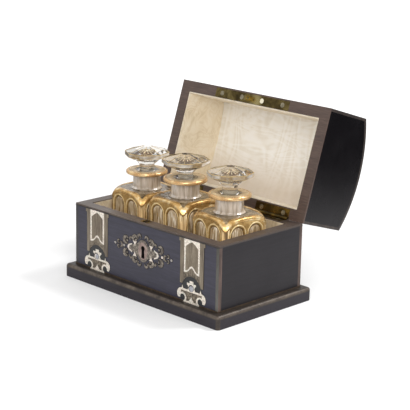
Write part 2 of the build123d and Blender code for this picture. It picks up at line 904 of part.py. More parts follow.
case_lining_top = rim_z - lining_recess
for side, flip in {"front": -1, "back": 1}.items():
    with BuildPart() as long_lining:
        with BuildSketch(Plane.XY.offset(floor_z)):
            with Locations((0, flip * (inner_half_depth - lining / 2))):
                Rectangle(2 * inner_half_width, lining)
        extrude(amount=case_lining_top - floor_z)
    export_piece(long_lining, f"case_{side}_lining")

for side, flip in {"left": -1, "right": 1}.items():
    with BuildPart() as end_lining:
        with BuildSketch(Plane.XY.offset(floor_z)):
            with Locations((flip * (inner_half_width - lining / 2), 0)):
                Rectangle(lining, 2 * (inner_half_depth - lining))
        extrude(amount=case_lining_top - floor_z)
    export_piece(end_lining, f"case_{side}_lining")


# Lid: two arched ends, two long walls and a curved top panel between them
def lid_field(inset, low):
    """The arched outline of a lid end, moved inwards by inset."""
    edge = half_depth - inset
    with BuildSketch() as field:
        with BuildLine():
            Polyline((-edge, arch_z(edge, inset)), (-edge, low), (edge, low), (edge, arch_z(edge, inset)))
            ThreePointArc((edge, arch_z(edge, inset)), (0, arch_z(0, inset)), (-edge, arch_z(edge, inset)))
        make_face()
    return field.sketch


end_outline = lid_field(0, lid_wall_z)
end_inner = lid_field(lid_strip, lid_wall_z)

with BuildPart() as lid_edge_stringing:
    with BuildSketch(Plane.YZ.offset(half_width - lid_strip)):
        add(end_outline)
        add(end_inner, mode=Mode.SUBTRACT)
    extrude(amount=lid_strip)
    mirror(about=Plane.YZ)
export_on_lid(lid_edge_stringing, "lid_edge_stringing")

for side, flip in {"left": -1, "right": 1}.items():
    with BuildPart() as lid_end:
        with BuildSketch(Plane.YZ.offset(flip * inner_half_width)):
            add(end_outline)
        extrude(amount=flip * wall)
        add(lid_edge_stringing.part, mode=Mode.SUBTRACT)
    export_on_lid(lid_end, f"lid_{side}_end")

link_screw_start = ornament_x - (link_screws - 1) / 2 * link_screw_pitch
link_screw_spots = [
    Location((link_screw_start + step * link_screw_pitch, staple_y, lid_bottom_z), (180, 0, 0))
    for step in range(link_screws)
]

for side, flip in {"front": -1, "back": 1}.items():
    with BuildPart() as lid_wall:
        with BuildSketch(Plane.XY.offset(lid_wall_z)):
            with Locations((0, flip * (half_depth - wall / 2))):
                Rectangle(2 * inner_half_width, wall)
        extrude(amount=seat_z - lid_wall_z)
        if side == "back":
            for centre_x in hinge_sides.values():
                add(hinge_groove(centre_x), mode=Mode.SUBTRACT)
            with Locations(*lid_screw_spots):
                add(screw_seat, mode=Mode.SUBTRACT)
        else:
            with Locations(*link_screw_spots):
                add(screw_seat, mode=Mode.SUBTRACT)
    export_on_lid(lid_wall, f"lid_{side}_wall")

with BuildPart() as lid_top_panel:
    with BuildSketch(Plane.YZ.offset(-inner_half_width)):
        with BuildLine():
            ThreePointArc((-half_depth, lid_corner_z), (0, arch_z(0, 0)), (half_depth, lid_corner_z))
            Polyline((half_depth, lid_corner_z), (half_depth, seat_z), (inner_half_depth, seat_z))
            ThreePointArc((inner_half_depth, seat_z), (0, ceiling_z(0, 0)), (-inner_half_depth, seat_z))
            Polyline((-inner_half_depth, seat_z), (-half_depth, seat_z), (-half_depth, lid_corner_z))
        make_face()
    extrude(amount=2 * inner_half_width)
export_on_lid(lid_top_panel, "lid_top_panel")

staple_drop = lid_bottom_z - nose_z + staple_hole_radius + staple_foot
with BuildPart() as link_plate:
    with BuildSketch(Plane.XY.offset(lid_bottom_z)):
        with Locations((ornament_x, staple_y)):
            Rectangle(link_plate_length, link_plate_width)
    extrude(amount=link_plate_thickness)
    with BuildSketch(Plane.YZ.offset(staple_x - staple_width / 2)):
        with Locations((staple_y, lid_bottom_z)):
            Rectangle(staple_depth, 2 * staple_drop)
        with Locations((staple_y, nose_z)):
            Circle(staple_hole_radius, mode=Mode.SUBTRACT)
    extrude(amount=staple_width)
    with BuildSketch(Plane.XY.offset(lid_bottom_z + link_plate_thickness)):
        with Locations((ornament_x, staple_y)):
            Rectangle(link_plate_length, link_plate_width)
    extrude(amount=staple_drop, mode=Mode.SUBTRACT)
    with Locations(*link_screw_spots):
        add(screw_seat, mode=Mode.SUBTRACT)
export_on_lid(link_plate, "link_plate")

with BuildPart() as link_plate_screws:
    with Locations(*link_screw_spots):
        add(screw)
export_on_lid(link_plate_screws, "link_plate_screws")

with BuildPart() as lid_rim:
    add(frame_ring(body_width, body_depth, wall, lid_bottom_z, lid_wall_z).part)
    for centre_x in hinge_sides.values():
        add(leaf_bed(centre_x, lid_bottom_z), mode=Mode.SUBTRACT)
        add(hinge_groove(centre_x), mode=Mode.SUBTRACT)
    with BuildSketch(Plane.XY.offset(lid_bottom_z)):
        with Locations((ornament_x, staple_y)):
            Rectangle(link_plate_length, link_plate_width)
    extrude(amount=link_plate_thickness, mode=Mode.SUBTRACT)
    with Locations(*(lid_screw_spots + link_screw_spots)):
        add(screw_seat, mode=Mode.SUBTRACT)
export_on_lid(lid_rim, "lid_rim")

# Lid lining: a ceiling under the top panel, long sides, and arched ends
lid_lining_low = lid_bottom_z + lining_recess
with BuildPart() as lid_ceiling_lining:
    with BuildSketch(Plane.YZ.offset(-inner_half_width)):
        with BuildLine():
            ThreePointArc((-inner_half_depth, seat_z), (0, ceiling_z(0, 0)), (inner_half_depth, seat_z))
            Line((inner_half_depth, seat_z), (inner_half_depth, seat_z - lining))
            ThreePointArc(
                (inner_half_depth, seat_z - lining),
                (0, ceiling_z(0, 0) - lining),
                (-inner_half_depth, seat_z - lining),
            )
            Line((-inner_half_depth, seat_z - lining), (-inner_half_depth, seat_z))
        make_face()
    extrude(amount=2 * inner_half_width)
export_on_lid(lid_ceiling_lining, "lid_ceiling_lining")

for side, flip in {"front": -1, "back": 1}.items():
    with BuildPart() as lid_long_lining:
        with BuildSketch(Plane.XY.offset(lid_lining_low)):
            with Locations((0, flip * (inner_half_depth - lining / 2))):
                Rectangle(2 * inner_half_width, lining)
        extrude(amount=seat_z - lining - lid_lining_low)
    export_on_lid(lid_long_lining, f"lid_{side}_lining")

for side, flip in {"left": -1, "right": 1}.items():
    with BuildPart() as lid_end_lining:
        with BuildSketch(Plane.YZ.offset(flip * inner_half_width)):
            edge = inner_half_depth - lining
            with BuildLine():
                Polyline(
                    (-edge, seat_z - lining),
                    (-edge, lid_lining_low),
                    (edge, lid_lining_low),
                    (edge, seat_z - lining),
                )
                ThreePointArc(
                    (edge, seat_z - lining),
                    (0, ceiling_z(0, 0) - lining),
                    (-edge, seat_z - lining),
                )
            make_face()
        extrude(amount=-flip * lining)
    export_on_lid(lid_end_lining, f"lid_{side}_lining")


# Flacons: square cut glass with a cushioned shoulder, a round neck and a flat collar
def rounded_prism(side, corner, low, high):
    """A square prism with rounded upright edges."""
    with BuildPart() as prism:
        with BuildSketch(Plane.XY.offset(low)):
            RectangleRounded(side, side, corner)
        extrude(amount=high - low)
    return prism.part


def shoulder_dome(top, inset, low):
    """A turned cushion: level in the middle, rounded down towards the corners of the square."""
    corner_radius = flacon_side / 2 * sqrt(2) - flacon_corner * (sqrt(2) - 1)
    run = corner_radius - shoulder_flat_radius
    bend = (run**2 + shoulder_drop**2) / (2 * shoulder_drop)
    centre_z = top - bend
    outer = shoulder_flat_radius + bend - inset
    with BuildPart() as dome:
        with BuildSketch(Plane.XZ):
            with BuildLine():
                Polyline((0, top - inset), (0, low), (outer, low), (outer, centre_z))
                Line((0, top - inset), (shoulder_flat_radius, top - inset))
                CenterArc((shoulder_flat_radius, centre_z), bend - inset, 0, 90)
            make_face()
        revolve(axis=Axis.Z)
    return dome.part


def flacon(name):
    """One flacon, in place."""
    top = flacon_body_height + flacon_rise[name]
    collar_z = top + neck_height
    lip_z = collar_z + collar_thickness
    girth = flacon_girth[name]
    with BuildPart() as cavity:
        add(rounded_prism(flacon_side - 2 * glass_wall, cavity_corner, glass_floor, top))
        add(shoulder_dome(top, glass_wall, glass_floor), mode=Mode.INTERSECT)
        with BuildSketch(Plane.XZ):
            foot_radius = bore_radius - bore_taper * (lip_z - top + 2 * glass_wall)
            with BuildLine():
                Polyline(
                    (0, lip_z),
                    (bore_radius, lip_z),
                    (foot_radius, top - 2 * glass_wall),
                    (0, top - 2 * glass_wall),
                    close=True,
                )
            make_face()
        revolve(axis=Axis.Z)
    place = Plane(origin=(flacon_x[name], 0, floor_z + flacon_seat_gap)).rotated((0, 0, flacon_turn[name]))
    with BuildPart() as glass:
        add(rounded_prism(flacon_side, flacon_corner, 0, top))
        add(shoulder_dome(top, 0, 0), mode=Mode.INTERSECT)
        for turn in (0, 90, 180, 270):
            face_plane = Plane.XZ.offset(flacon_side / 2)
            turned = Plane(
                origin=Vector(*face_plane.origin).rotate(Axis.Z, turn),
                x_dir=Vector(1, 0, 0).rotate(Axis.Z, turn),
                z_dir=Vector(0, -1, 0).rotate(Axis.Z, turn),
            )
            with BuildSketch(turned):
                flute_height = top - flute_top_drop - flute_foot
                with Locations(
                    (-flute_spacing / 2, flute_foot + flute_height / 2),
                    (flute_spacing / 2, flute_foot + flute_height / 2),
                ):
                    SlotOverall(flute_height, flute_width, rotation=90)
            extrude(amount=-flute_depth, mode=Mode.SUBTRACT)
        with BuildSketch(Plane.XY.offset(top - glass_wall)):
            Circle(neck_radius * (1 + girth) / 2)
        extrude(amount=neck_height + glass_wall)
        with BuildSketch(Plane.XY.offset(collar_z)):
            Circle(collar_radius * girth)
        extrude(amount=collar_thickness)
        fillet(glass.faces().filter_by(Axis.Z).sort_by(Axis.Z)[-1].edges(), collar_round)
        add(cavity.part, mode=Mode.SUBTRACT)
    with BuildPart() as placed:
        add(place.location * glass.part)
    return placed


def stopper(name):
    """The stopper of one flacon, in place: a tapered plug, a stem and a faceted mushroom top."""
    top = flacon_body_height + flacon_rise[name]
    lip_z = floor_z + flacon_seat_gap + top + neck_height + collar_thickness
    base_z = stopper_seat_gap
    knop_z = stem_height + stem_extra[name]
    crown_z = stopper_height + stem_extra[name]
    girdle_z = crown_z - girdle_drop
    plug_top = bore_radius - plug_clearance
    with BuildPart() as cut_glass:
        with BuildSketch(Plane.XZ):
            with BuildLine():
                Polyline(
                    (0, -plug_length),
                    (plug_top - bore_taper * plug_length, -plug_length),
                    (plug_top, 0),
                    (stem_radius, base_z),
                    (stem_radius, knop_z),
                    (knop_radius, knop_z + knop_height / 2),
                    (knop_radius * 0.9, knop_z + knop_height),
                    (0, knop_z + knop_height),
                    close=True,
                )
            make_face()
        revolve(axis=Axis.Z)
        girth = flacon_girth[name]
        tiers = [
            (knop_z + knop_height / 2, knop_radius),
            (girdle_z - girdle_thickness - bowl_drop, bowl_radius * girth),
            (girdle_z - girdle_thickness, girdle_radius * girth),
            (girdle_z, girdle_radius * girth),
            (crown_z, table_radius),
        ]
        for lower, upper in zip(tiers, tiers[1:]):
            for height, radius in (lower, upper):
                with BuildSketch(Plane.XY.offset(height)):
                    RegularPolygon(radius, stopper_sides)
            loft()
    place = Plane(origin=(flacon_x[name], 0, lip_z)).rotated((0, 0, flacon_turn[name]))
    with BuildPart() as placed:
        add(place.location * cut_glass.part)
    return placed


for name in flacon_names:
    export_piece(flacon(name), f"{name}_flacon")
    export_piece(stopper(name), f"{name}_stopper")
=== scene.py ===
import math

import bmesh
import bpy
from mathutils import Matrix, Vector


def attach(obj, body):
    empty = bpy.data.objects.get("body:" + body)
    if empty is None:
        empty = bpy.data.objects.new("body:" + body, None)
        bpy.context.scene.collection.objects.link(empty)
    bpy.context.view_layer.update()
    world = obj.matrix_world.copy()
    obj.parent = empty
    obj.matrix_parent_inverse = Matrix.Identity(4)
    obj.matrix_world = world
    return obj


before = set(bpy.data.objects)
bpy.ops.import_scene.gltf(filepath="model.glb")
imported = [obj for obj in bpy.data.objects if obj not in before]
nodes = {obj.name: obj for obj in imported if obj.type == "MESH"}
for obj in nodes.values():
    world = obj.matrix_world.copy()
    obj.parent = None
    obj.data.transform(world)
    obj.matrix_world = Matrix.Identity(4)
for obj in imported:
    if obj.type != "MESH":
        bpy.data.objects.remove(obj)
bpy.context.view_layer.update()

MM = 0.001
scene = bpy.context.scene

# Sizes that the pieces made here share with the solids, in millimetres. The lid's turn lays its materials'
# grain along the open lid, and the straps are given by their middle lines.
HALF_W, HALF_D = 84.0, 47.5
LID_TURN = (math.radians(107.66), 0, 0)
STRAPS = {"left": -57.3, "right": 54.9}

# Each flacon's place along the case, its turn in degrees, its added height, the girth of its neck and
# the added length of its stopper
FLACONS = {
    "left": (-48.4, -6.0, 0.0, 1.0, 0.3),
    "middle": (-2.2, -2.5, 2.0, 1.05, 0.0),
    "right": (48.0, -7.0, -1.0, 1.0, 2.0),
}
FLACON_Z, SIDE, CORNER, BODY = 12.3, 44.0, 4.5, 64.1
SHOULDER_FLAT, SHOULDER_DROP = 20.0, 7.9
FLUTES = (-8.8, 8.8)
FLUTE_FOOT, FLUTE_DROP, FLUTE_WIDTH = 5.0, 5.0, 15.5
GILDING_FOOT = 1.6
NECK_RADIUS = 11.3
COLLAR_RADIUS, COLLAR_FOOT, COLLAR_TOP = 17.2, 12.9, 15.6
PLUG_RADIUS, PLUG_TAPER, PLUG_DEPTH = 7.82, 0.06, 10.4
STOPPER_RISE, CROWN_RADIUS = 19.4, 3.6
GIRDLE_RADIUS, GIRDLE_DROP, GIRDLE_THICKNESS, FACETS = 18.7, 4.4, 3.2, 8
STAR_RIBS = 12


# Materials
class Graph:
    """A material whose colour, roughness and bump come from nodes in the object's own coordinates."""

    def __init__(self, name, turn=(0, 0, 0)):
        self.mat = bpy.data.materials.new(name)
        self.mat.use_nodes = True
        self.tree = self.mat.node_tree
        self.bsdf = self.tree.nodes["Principled BSDF"]
        self.own = self.node("ShaderNodeTexCoord").outputs["Object"]
        self.place = self.node("ShaderNodeMapping", {"Vector": self.own, "Rotation": turn}).outputs[0]

    def node(self, kind, inputs=None, **props):
        n = self.tree.nodes.new(kind)
        for key, value in props.items():
            setattr(n, key, value)
        for key, value in (inputs or {}).items():
            self.put(n.inputs[key], value)
        return n

    def put(self, socket, value):
        if isinstance(value, bpy.types.NodeSocket):
            self.tree.links.new(value, socket)
        elif socket.type == "RGBA" and len(value) == 3:
            socket.default_value = (*value, 1)
        else:
            socket.default_value = value

    def stretch(self, scale):
        """The place squeezed by a factor along each axis, so that patterns are drawn out along the others."""
        return self.node("ShaderNodeMapping", {"Vector": self.place, "Scale": scale}).outputs[0]

    def noise(self, scale, detail=4.0, rough=0.5, distortion=0.0, vector=None):
        inputs = {"Vector": vector or self.place, "Scale": scale, "Detail": detail, "Roughness": rough,
                  "Distortion": distortion}
        return self.node("ShaderNodeTexNoise", inputs).outputs["Fac"]

    def wave(self, scale, distortion, detail=2.0, detail_scale=1.0, vector=None, axis="X"):
        inputs = {"Vector": vector or self.place, "Scale": scale, "Distortion": distortion, "Detail": detail,
                  "Detail Scale": detail_scale}
        return self.node("ShaderNodeTexWave", inputs, bands_direction=axis).outputs["Fac"]

    def cell_edges(self, scale, vector=None):
        """The distance to the edges of a pattern of cells."""
        inputs = {"Vector": vector or self.place, "Scale": scale}
        return self.node("ShaderNodeTexVoronoi", inputs, feature="DISTANCE_TO_EDGE").outputs["Distance"]

    def ramp(self, fac, *stops):
        n = self.node("ShaderNodeValToRGB", {"Fac": fac})
        while len(n.color_ramp.elements) < len(stops):
            n.color_ramp.elements.new(0.5)
        for element, (at, colour) in zip(n.color_ramp.elements, stops):
            element.position = at
            element.color = (*colour, 1)
        return n.outputs["Color"]

    def tones(self, fac, dark, mid, light):
        """Three tones over the values that a noise mostly takes."""
        return self.ramp(fac, (0.3, dark), (0.5, mid), (0.72, light))

    def mix(self, fac, a, b, mode="MIX"):
        n = self.node("ShaderNodeMix", data_type="RGBA", blend_type=mode)
        self.put(n.inputs[0], fac)
        self.put(n.inputs[6], a)
        self.put(n.inputs[7], b)
        return n.outputs[2]

    def math(self, operation, a, b=0.0, clamp=False):
        n = self.node("ShaderNodeMath", operation=operation, use_clamp=clamp)
        self.put(n.inputs[0], a)
        self.put(n.inputs[1], b)
        return n.outputs[0]

    def plus(self, a, b):
        return self.math("ADD", a, b)

    def times(self, a, b):
        return self.math("MULTIPLY", a, b)

    def off(self, a, b):
        """How far a value lies from another."""
        return self.math("ABSOLUTE", self.math("SUBTRACT", a, b))

    def span(self, fac, low, high, out_low=0.0, out_high=1.0):
        inputs = {"Value": fac, "From Min": low, "From Max": high, "To Min": out_low, "To Max": out_high}
        return self.node("ShaderNodeMapRange", inputs).outputs[0]

    def axis(self, letter, vector=None):
        return self.node("ShaderNodeSeparateXYZ", {"Vector": vector or self.place}).outputs[letter]

    def bump(self, height, distance, strength=1.0):
        inputs = {"Height": height, "Distance": distance, "Strength": strength}
        return self.node("ShaderNodeBump", inputs).outputs[0]

    def shade(self, **values):
        """Sets the shader's inputs and returns the finished material."""
        for key, value in values.items():
            self.put(self.bsdf.inputs[key.replace("_", " ")], value)
        return self.mat


def srgb(*colour):
    """A colour given as it looks, in 0 to 255, as the linear values that shaders take."""
    shares = [c / 255 for c in colour]
    return tuple(c / 12.92 if c <= 0.04045 else ((c + 0.055) / 1.055) ** 2.4 for c in shares)


def ebony(name, dark, light, turn=(0, 0, 0), grain=(1, 12, 12), polish=(1.0, 1.0, 1.0), shine=0.5, rough=0.3):
    """Black stained and polished wood: faint grain, fine pores, polishing haze and small scuffs."""
    g = Graph(name, turn)
    figure = g.span(g.noise(55, 5, 0.6, 0.4, g.stretch(grain)), 0.3, 0.7)
    pores = g.noise(900, 3, 0.7, 0, g.stretch(tuple(v * 0.4 for v in grain)))
    haze = g.span(g.noise(28, 3, 0.6), 0.3, 0.7, rough, rough + 0.12)
    scuffs = g.span(g.noise(420, 6, 0.75), 0.66, 0.78)
    colour = g.mix(figure, dark, light)
    colour = g.mix(g.times(scuffs, 0.25), colour, srgb(104, 98, 96))
    return g.shade(Base_Color=colour, Roughness=g.plus(haze, g.times(scuffs, 0.15)), Specular_Tint=polish,
                   Specular_IOR_Level=shine, Normal=g.bump(g.plus(pores, figure), 0.00002, 0.35))


def streaked_wood(name, dark, mid, light, turn=(0, 0, 0), grain=(1, 14, 14), darker_right=0.0):
    """Brown veneer with long streaks and pores, and, where given, darker towards the right."""
    g = Graph(name, turn)
    along = g.stretch(grain)
    streaks = g.noise(70, 6, 0.65, 0.6, along)
    fine = g.noise(420, 4, 0.7, 0, along)
    stain = g.noise(40, 3, 0.5)
    figure = g.plus(g.times(streaks, 0.7), g.times(stain, 0.3))
    colour = g.ramp(figure, (0.28, dark), (0.5, mid), (0.74, light))
    colour = g.mix(g.span(fine, 0.6, 0.8, 0, 0.5), colour, dark)
    if darker_right > 0:
        colour = g.mix(g.span(g.axis("X"), -0.03, 0.07, 0, darker_right), colour, dark)
    return g.shade(Base_Color=colour, Roughness=g.span(stain, 0.3, 0.7, 0.38, 0.56),
                   Normal=g.bump(fine, 0.00003, 0.5))


def patina(name, dark, mid, light, metallic, painted_highlight=None):
    """Old metal strip or mastic: tarnish, small spots and rubs, and, where given, a painted highlight, paler
    only between two heights.
    """
    g = Graph(name)
    cloud = g.noise(160, 5, 0.65, 0.3)
    spots = g.noise(900, 3, 0.6)
    rub = g.span(g.noise(60, 4, 0.6), 0.52, 0.72)
    colour = g.tones(cloud, dark, mid, light)
    colour = g.mix(g.span(spots, 0.58, 0.75, 0, 0.6), colour, dark)
    # Painted highlight: the colour darkens above and below a band of heights, so that the band reads as lit.
    if painted_highlight is not None:
        height = g.axis("Z")
        above = g.span(height, painted_highlight[1], painted_highlight[1] + 0.0003)
        below = g.span(height, painted_highlight[0], painted_highlight[0] - 0.0003)
        colour = g.mix(g.times(g.math("MAXIMUM", above, below), 0.7), colour, dark)
    roughness = g.math("SUBTRACT", g.span(cloud, 0.3, 0.7, 0.5, 0.36), g.times(rub, 0.1))
    return g.shade(Base_Color=colour, Metallic=metallic, Roughness=roughness,
                   Normal=g.bump(g.plus(cloud, spots), 0.00004, 0.4))


def corner_post():
    """The strip on the case's corners: grey-green on the front, a painted reflection left out at the left
    corner, and red-brown on the sides, with fine streaks.
    """
    g = Graph("post_strip")
    streaks = g.noise(300, 4, 0.6, 0.3, g.stretch((1, 1, 0.15)))
    side = g.span(g.math("ABSOLUTE", g.axis("X")), 0.0837, 0.08395)
    front = g.ramp(streaks, (0.34, srgb(66, 64, 58)), (0.66, srgb(96, 94, 88)))
    # The left corner's front takes a dark ebony tone instead of the painted reflection.
    front = g.mix(g.span(g.axis("X"), -0.01, 0.01, 0.85, 0.0), front, srgb(44, 42, 48))
    flank = g.ramp(streaks, (0.34, srgb(62, 48, 42)), (0.66, srgb(98, 78, 70)))
    return g.shade(Base_Color=g.mix(side, front, flank), Metallic=0.15,
                   Roughness=g.span(streaks, 0.3, 0.7, 0.5, 0.38), Normal=g.bump(streaks, 0.00005, 0.4))


def mastic_lines(g, scale):
    """Curling engraved lines, filled with black mastic, as a mask."""
    warp = g.node("ShaderNodeTexNoise", {"Vector": g.place, "Scale": scale * 0.5}).outputs["Color"]
    bent = g.mix(0.004, g.place, warp, "ADD")
    curls = g.span(g.cell_edges(scale, bent), 0.16, 0.05)
    flow = g.span(g.wave(scale * 0.8, 7.0, 2.0, 1.2, vector=bent, axis="DIAGONAL"), 0.22, 0.06)
    return g.math("MAXIMUM", curls, flow, True)


def strap_lines(g, curls, centre):
    """Ruled lines down the two bands of a strap, and curling lines on its infill, stronger at its foot."""
    offset = g.off(g.axis("X"), centre * MM)
    band = g.span(offset, 0.0084, 0.0088)
    ruled = g.math("SINE", g.times(offset, 2 * math.pi / 0.00125))
    infill = g.span(g.axis("Z"), 0.0335, 0.0365, 0.8, 0.16)
    return g.mix(band, g.times(curls, infill), g.span(ruled, 0.35, 0.8, 0.0, 0.6))


def engraved_brass(name, centre=None):
    """Inlaid brass, dulled to brown: a strap's, about its centre line, or that of the scrollwork."""
    g = Graph(name)
    cloud = g.noise(240, 4, 0.6)
    curls = mastic_lines(g, 330)
    if centre is None:
        colour = g.tones(cloud, srgb(112, 102, 94), srgb(134, 124, 112), srgb(166, 156, 142))
        lines = g.times(curls, 0.75)
    else:
        streaks = g.noise(380, 3, 0.6, 0.3, g.stretch((1, 1, 0.12)))
        colour = g.ramp(streaks, (0.34, srgb(96, 84, 72)), (0.5, srgb(124, 112, 94)),
                        (0.66, srgb(148, 136, 118)))
        lines = strap_lines(g, curls, centre)
    colour = g.mix(g.math("MULTIPLY", lines, 0.9, True), colour, srgb(52, 44, 38))
    return g.shade(Base_Color=colour, Metallic=0.3, Roughness=g.span(cloud, 0.3, 0.7, 0.38, 0.52),
                   Normal=g.bump(lines, 0.0001, -0.4))


def pearl(name, ground, pink, green, ends=None):
    """Mother-of-pearl: layered, faintly iridescent, with engraved veins, and greyer outside two places."""
    g = Graph(name)
    layers = g.wave(150, 6, 3, 2, axis="Z")
    cloud = g.noise(180, 4, 0.55, 0.8)
    colour = g.mix(g.span(layers, 0.2, 0.8, 0, 0.6), ground, pink)
    colour = g.mix(g.span(cloud, 0.45, 0.7, 0, 0.6), colour, green)
    veins = g.span(g.cell_edges(420), 0.10, 0.03)
    colour = g.mix(g.times(veins, 0.45), colour, srgb(120, 110, 98))
    if ends is not None:
        across = g.axis("X")
        beyond_left = g.span(across, ends[0], ends[0] - 0.001)
        beyond_right = g.span(across, ends[1], ends[1] + 0.001)
        away = g.math("MAXIMUM", beyond_left, beyond_right)
        colour = g.mix(g.times(away, 0.8), colour, srgb(128, 124, 122))
    return g.shade(Base_Color=colour, Roughness=g.span(cloud, 0.3, 0.7, 0.2, 0.34),
                   Normal=g.bump(layers, 0.00002, 0.3))


def middle_of(node):
    """The middle of a solid's box in its own coordinates."""
    corners = [Vector(c) for c in nodes[node].bound_box]
    return sum(corners, Vector()) / len(corners)


def polished_brass(name, dark, mid, light, patches=110, bright=None):
    """Old lacquered brass: patches of tarnish, brushing and pits, and, where given, a painted highlight round
    a place.
    """
    g = Graph(name)
    cloud = g.noise(patches, 5, 0.6, 0.4)
    brushed = g.noise(700, 3, 0.6, 0, g.stretch((1, 10, 10)))
    pits = g.span(g.noise(1400, 2, 0.5), 0.68, 0.8)
    colour = g.tones(cloud, dark, mid, light)
    colour = g.mix(g.times(pits, 0.7), colour, dark)
    # Painted highlight: paler brass that fades out round a given place.
    if bright is not None:
        centre, reach, painted_highlight = bright
        away = g.node("ShaderNodeVectorMath", {0: g.place, 1: centre}, operation="DISTANCE").outputs["Value"]
        highlight_mask = g.times(g.span(away, reach, 0.4 * reach), g.span(cloud, 0.3, 0.5, 0.6, 1.0))
        colour = g.mix(highlight_mask, colour, painted_highlight)
    return g.shade(Base_Color=colour, Metallic=1.0, Roughness=g.span(cloud, 0.3, 0.7, 0.4, 0.22),
                   Normal=g.bump(g.plus(brushed, pits), 0.00003, 0.35))


def silk(name, shade, body, sheen, turn=(0, 0, 0), watering=0.07, foot=None):
    """Watered silk: fine ribs, the bands that pressed ribs leave, and, where given, a darker tone at the
    foot, a painted shade.
    """
    g = Graph(name, turn)
    swell = g.noise(26, 2, 0.45, 0.6, g.stretch((1, 0.45, 0.45)))
    contours = g.math("SINE", g.times(swell, 70.0))
    flames = g.noise(95, 4, 0.6, 0.9, g.stretch((1, 0.2, 0.2)))
    ripples = g.math("SINE", g.times(g.noise(34, 2, 0.5, 1.5, g.stretch((0.5, 1.6, 1.6))), 44.0))
    rings = g.times(g.plus(contours, ripples), watering)
    water = g.plus(g.plus(g.times(flames, 0.5), rings), 0.25)
    ribs = g.wave(620, 0.6, 1.0, 1.0, axis="Z")
    soil = g.noise(18, 4, 0.6)
    colour = g.tones(water, shade, body, sheen)
    colour = g.mix(g.span(soil, 0.52, 0.8, 0, 0.4), colour, shade)
    # Painted shade: the lower part of the silk, by its own height, takes the darker foot tone.
    if foot is not None:
        colour = g.mix(g.span(g.axis("Z", g.own), 0.068, 0.096, 0.75, 0.0), colour, foot)
    return g.shade(Base_Color=colour, Roughness=g.span(water, 0.2, 0.8, 0.62, 0.46), Sheen_Weight=0.2,
                   Sheen_Roughness=0.4, Normal=g.bump(g.plus(ribs, g.times(water, 2.0)), 0.00004, 0.4))


def gilding(name, dark, mid, light, rough, metal):
    """Fired gold on glass: rubbed patches, pinholes and brush ripples."""
    g = Graph(name)
    cloud = g.noise(190, 4, 0.6, 0.5)
    wear = g.span(g.noise(520, 5, 0.7), 0.62, 0.74)
    colour = g.mix(g.times(wear, 0.5), g.tones(cloud, dark, mid, light), dark)
    return g.shade(Base_Color=colour, Metallic=metal, Roughness=g.span(cloud, 0.3, 0.7, rough + 0.12, rough),
                   Normal=g.bump(g.noise(420, 3, 0.5), 0.00006, 0.5))


def crystal(name, dark, light, clear, rough, ripple_size, bend=1.5, depth=0.0002, drawn=(1, 1, 1),
            glint=(1.0, 1.0, 1.0)):
    """Glass with smears that give its diffuse share two tones: on the cut crystal and the girdle these tones
    are painted reflections, on the frosted pieces the frosting's own.
    """
    g = Graph(name)
    along = g.stretch(drawn)
    ripple = g.noise(ripple_size, 2, 0.4, 0.3, along)
    smears_and_reflections = g.noise(0.7 * ripple_size, 4, 0.6, 0.3, along)
    colour = g.mix(g.span(smears_and_reflections, 0.36, 0.64), dark, light)
    return g.shade(Base_Color=colour, Transmission_Weight=clear, IOR=bend, Specular_Tint=glint,
                   Roughness=g.span(smears_and_reflections, 0.4, 0.8, rough, rough + 0.05), Normal=g.bump(ripple, depth, 0.4))


def fluted_glass():
    """The glass in a flute: upright streaks of silver, cream and the brown of the gilding behind, and gold
    flecks, which are painted reflections and a painted view through the glass.
    """
    g = Graph("fluted_glass")
    streaks = g.noise(420, 3, 0.6, 0.8, g.stretch((1, 1, 0.16)))
    flecks = g.span(g.noise(900, 3, 0.6, 0.4, g.stretch((1, 1, 0.4))), 0.6, 0.7)
    colour = g.ramp(streaks, (0.34, srgb(122, 98, 62)), (0.46, srgb(170, 146, 112)),
                    (0.56, srgb(204, 182, 150)), (0.68, srgb(250, 240, 220)))
    colour = g.mix(g.times(flecks, 0.7), colour, srgb(206, 164, 92))
    return g.shade(Base_Color=colour, Transmission_Weight=0.12, IOR=1.5,
                   Roughness=g.span(streaks, 0.3, 0.7, 0.12, 0.28), Normal=g.bump(streaks, 0.0003, 0.5))


def corner_gold_leaf():
    """Thin pale gold on the rounded corners, with upright streaks of brown and of bright glass; the bright
    streaks and the paler top are painted highlights.
    """
    g = Graph("corner_gold")
    streaks = g.noise(460, 3, 0.6, 0.5, g.stretch((1, 1, 0.1)))
    low = g.ramp(streaks, (0.36, srgb(104, 78, 40)), (0.5, srgb(156, 122, 70)), (0.64, srgb(196, 164, 110)))
    high = g.ramp(streaks, (0.36, srgb(112, 86, 48)), (0.48, srgb(168, 136, 86)), (0.62, srgb(226, 206, 164)))
    # Painted highlight: the upper part, under the shoulder band, takes the paler tones.
    colour = g.mix(g.span(g.axis("Z"), 0.062, 0.070), low, high)
    return g.shade(Base_Color=colour, Metallic=0.25, Roughness=g.span(streaks, 0.3, 0.7, 0.5, 0.36),
                   Normal=g.bump(streaks, 0.0002, 0.5))


def third_screw():
    """Where the link plate's third screw stands along its row of four, in the object's own metres."""
    xs = [corner[0] for corner in nodes["link_plate_screws"].bound_box]
    head = 0.004
    row = max(xs) - min(xs) - head
    return (max(xs) + min(xs)) / 2 + row / 6


def steel(name, bright=None):
    """Filed steel screws, dull with age, one of them with a painted highlight."""
    g = Graph(name)
    cloud = g.noise(500, 4, 0.6)
    colour = g.ramp(cloud, (0.3, srgb(96, 88, 70)), (0.6, srgb(148, 140, 118)), (0.8, srgb(188, 182, 164)))
    # Painted highlight: one screw, at a given place along x, turns near white.
    if bright is not None:
        colour = g.mix(g.span(g.off(g.axis("X"), bright), 0.003, 0.0025), colour, srgb(244, 236, 210))
    return g.shade(Base_Color=colour, Metallic=0.9, Roughness=g.span(cloud, 0.3, 0.7, 0.4, 0.25),
                   Normal=g.bump(g.noise(1500, 2), 0.00003, 0.4))
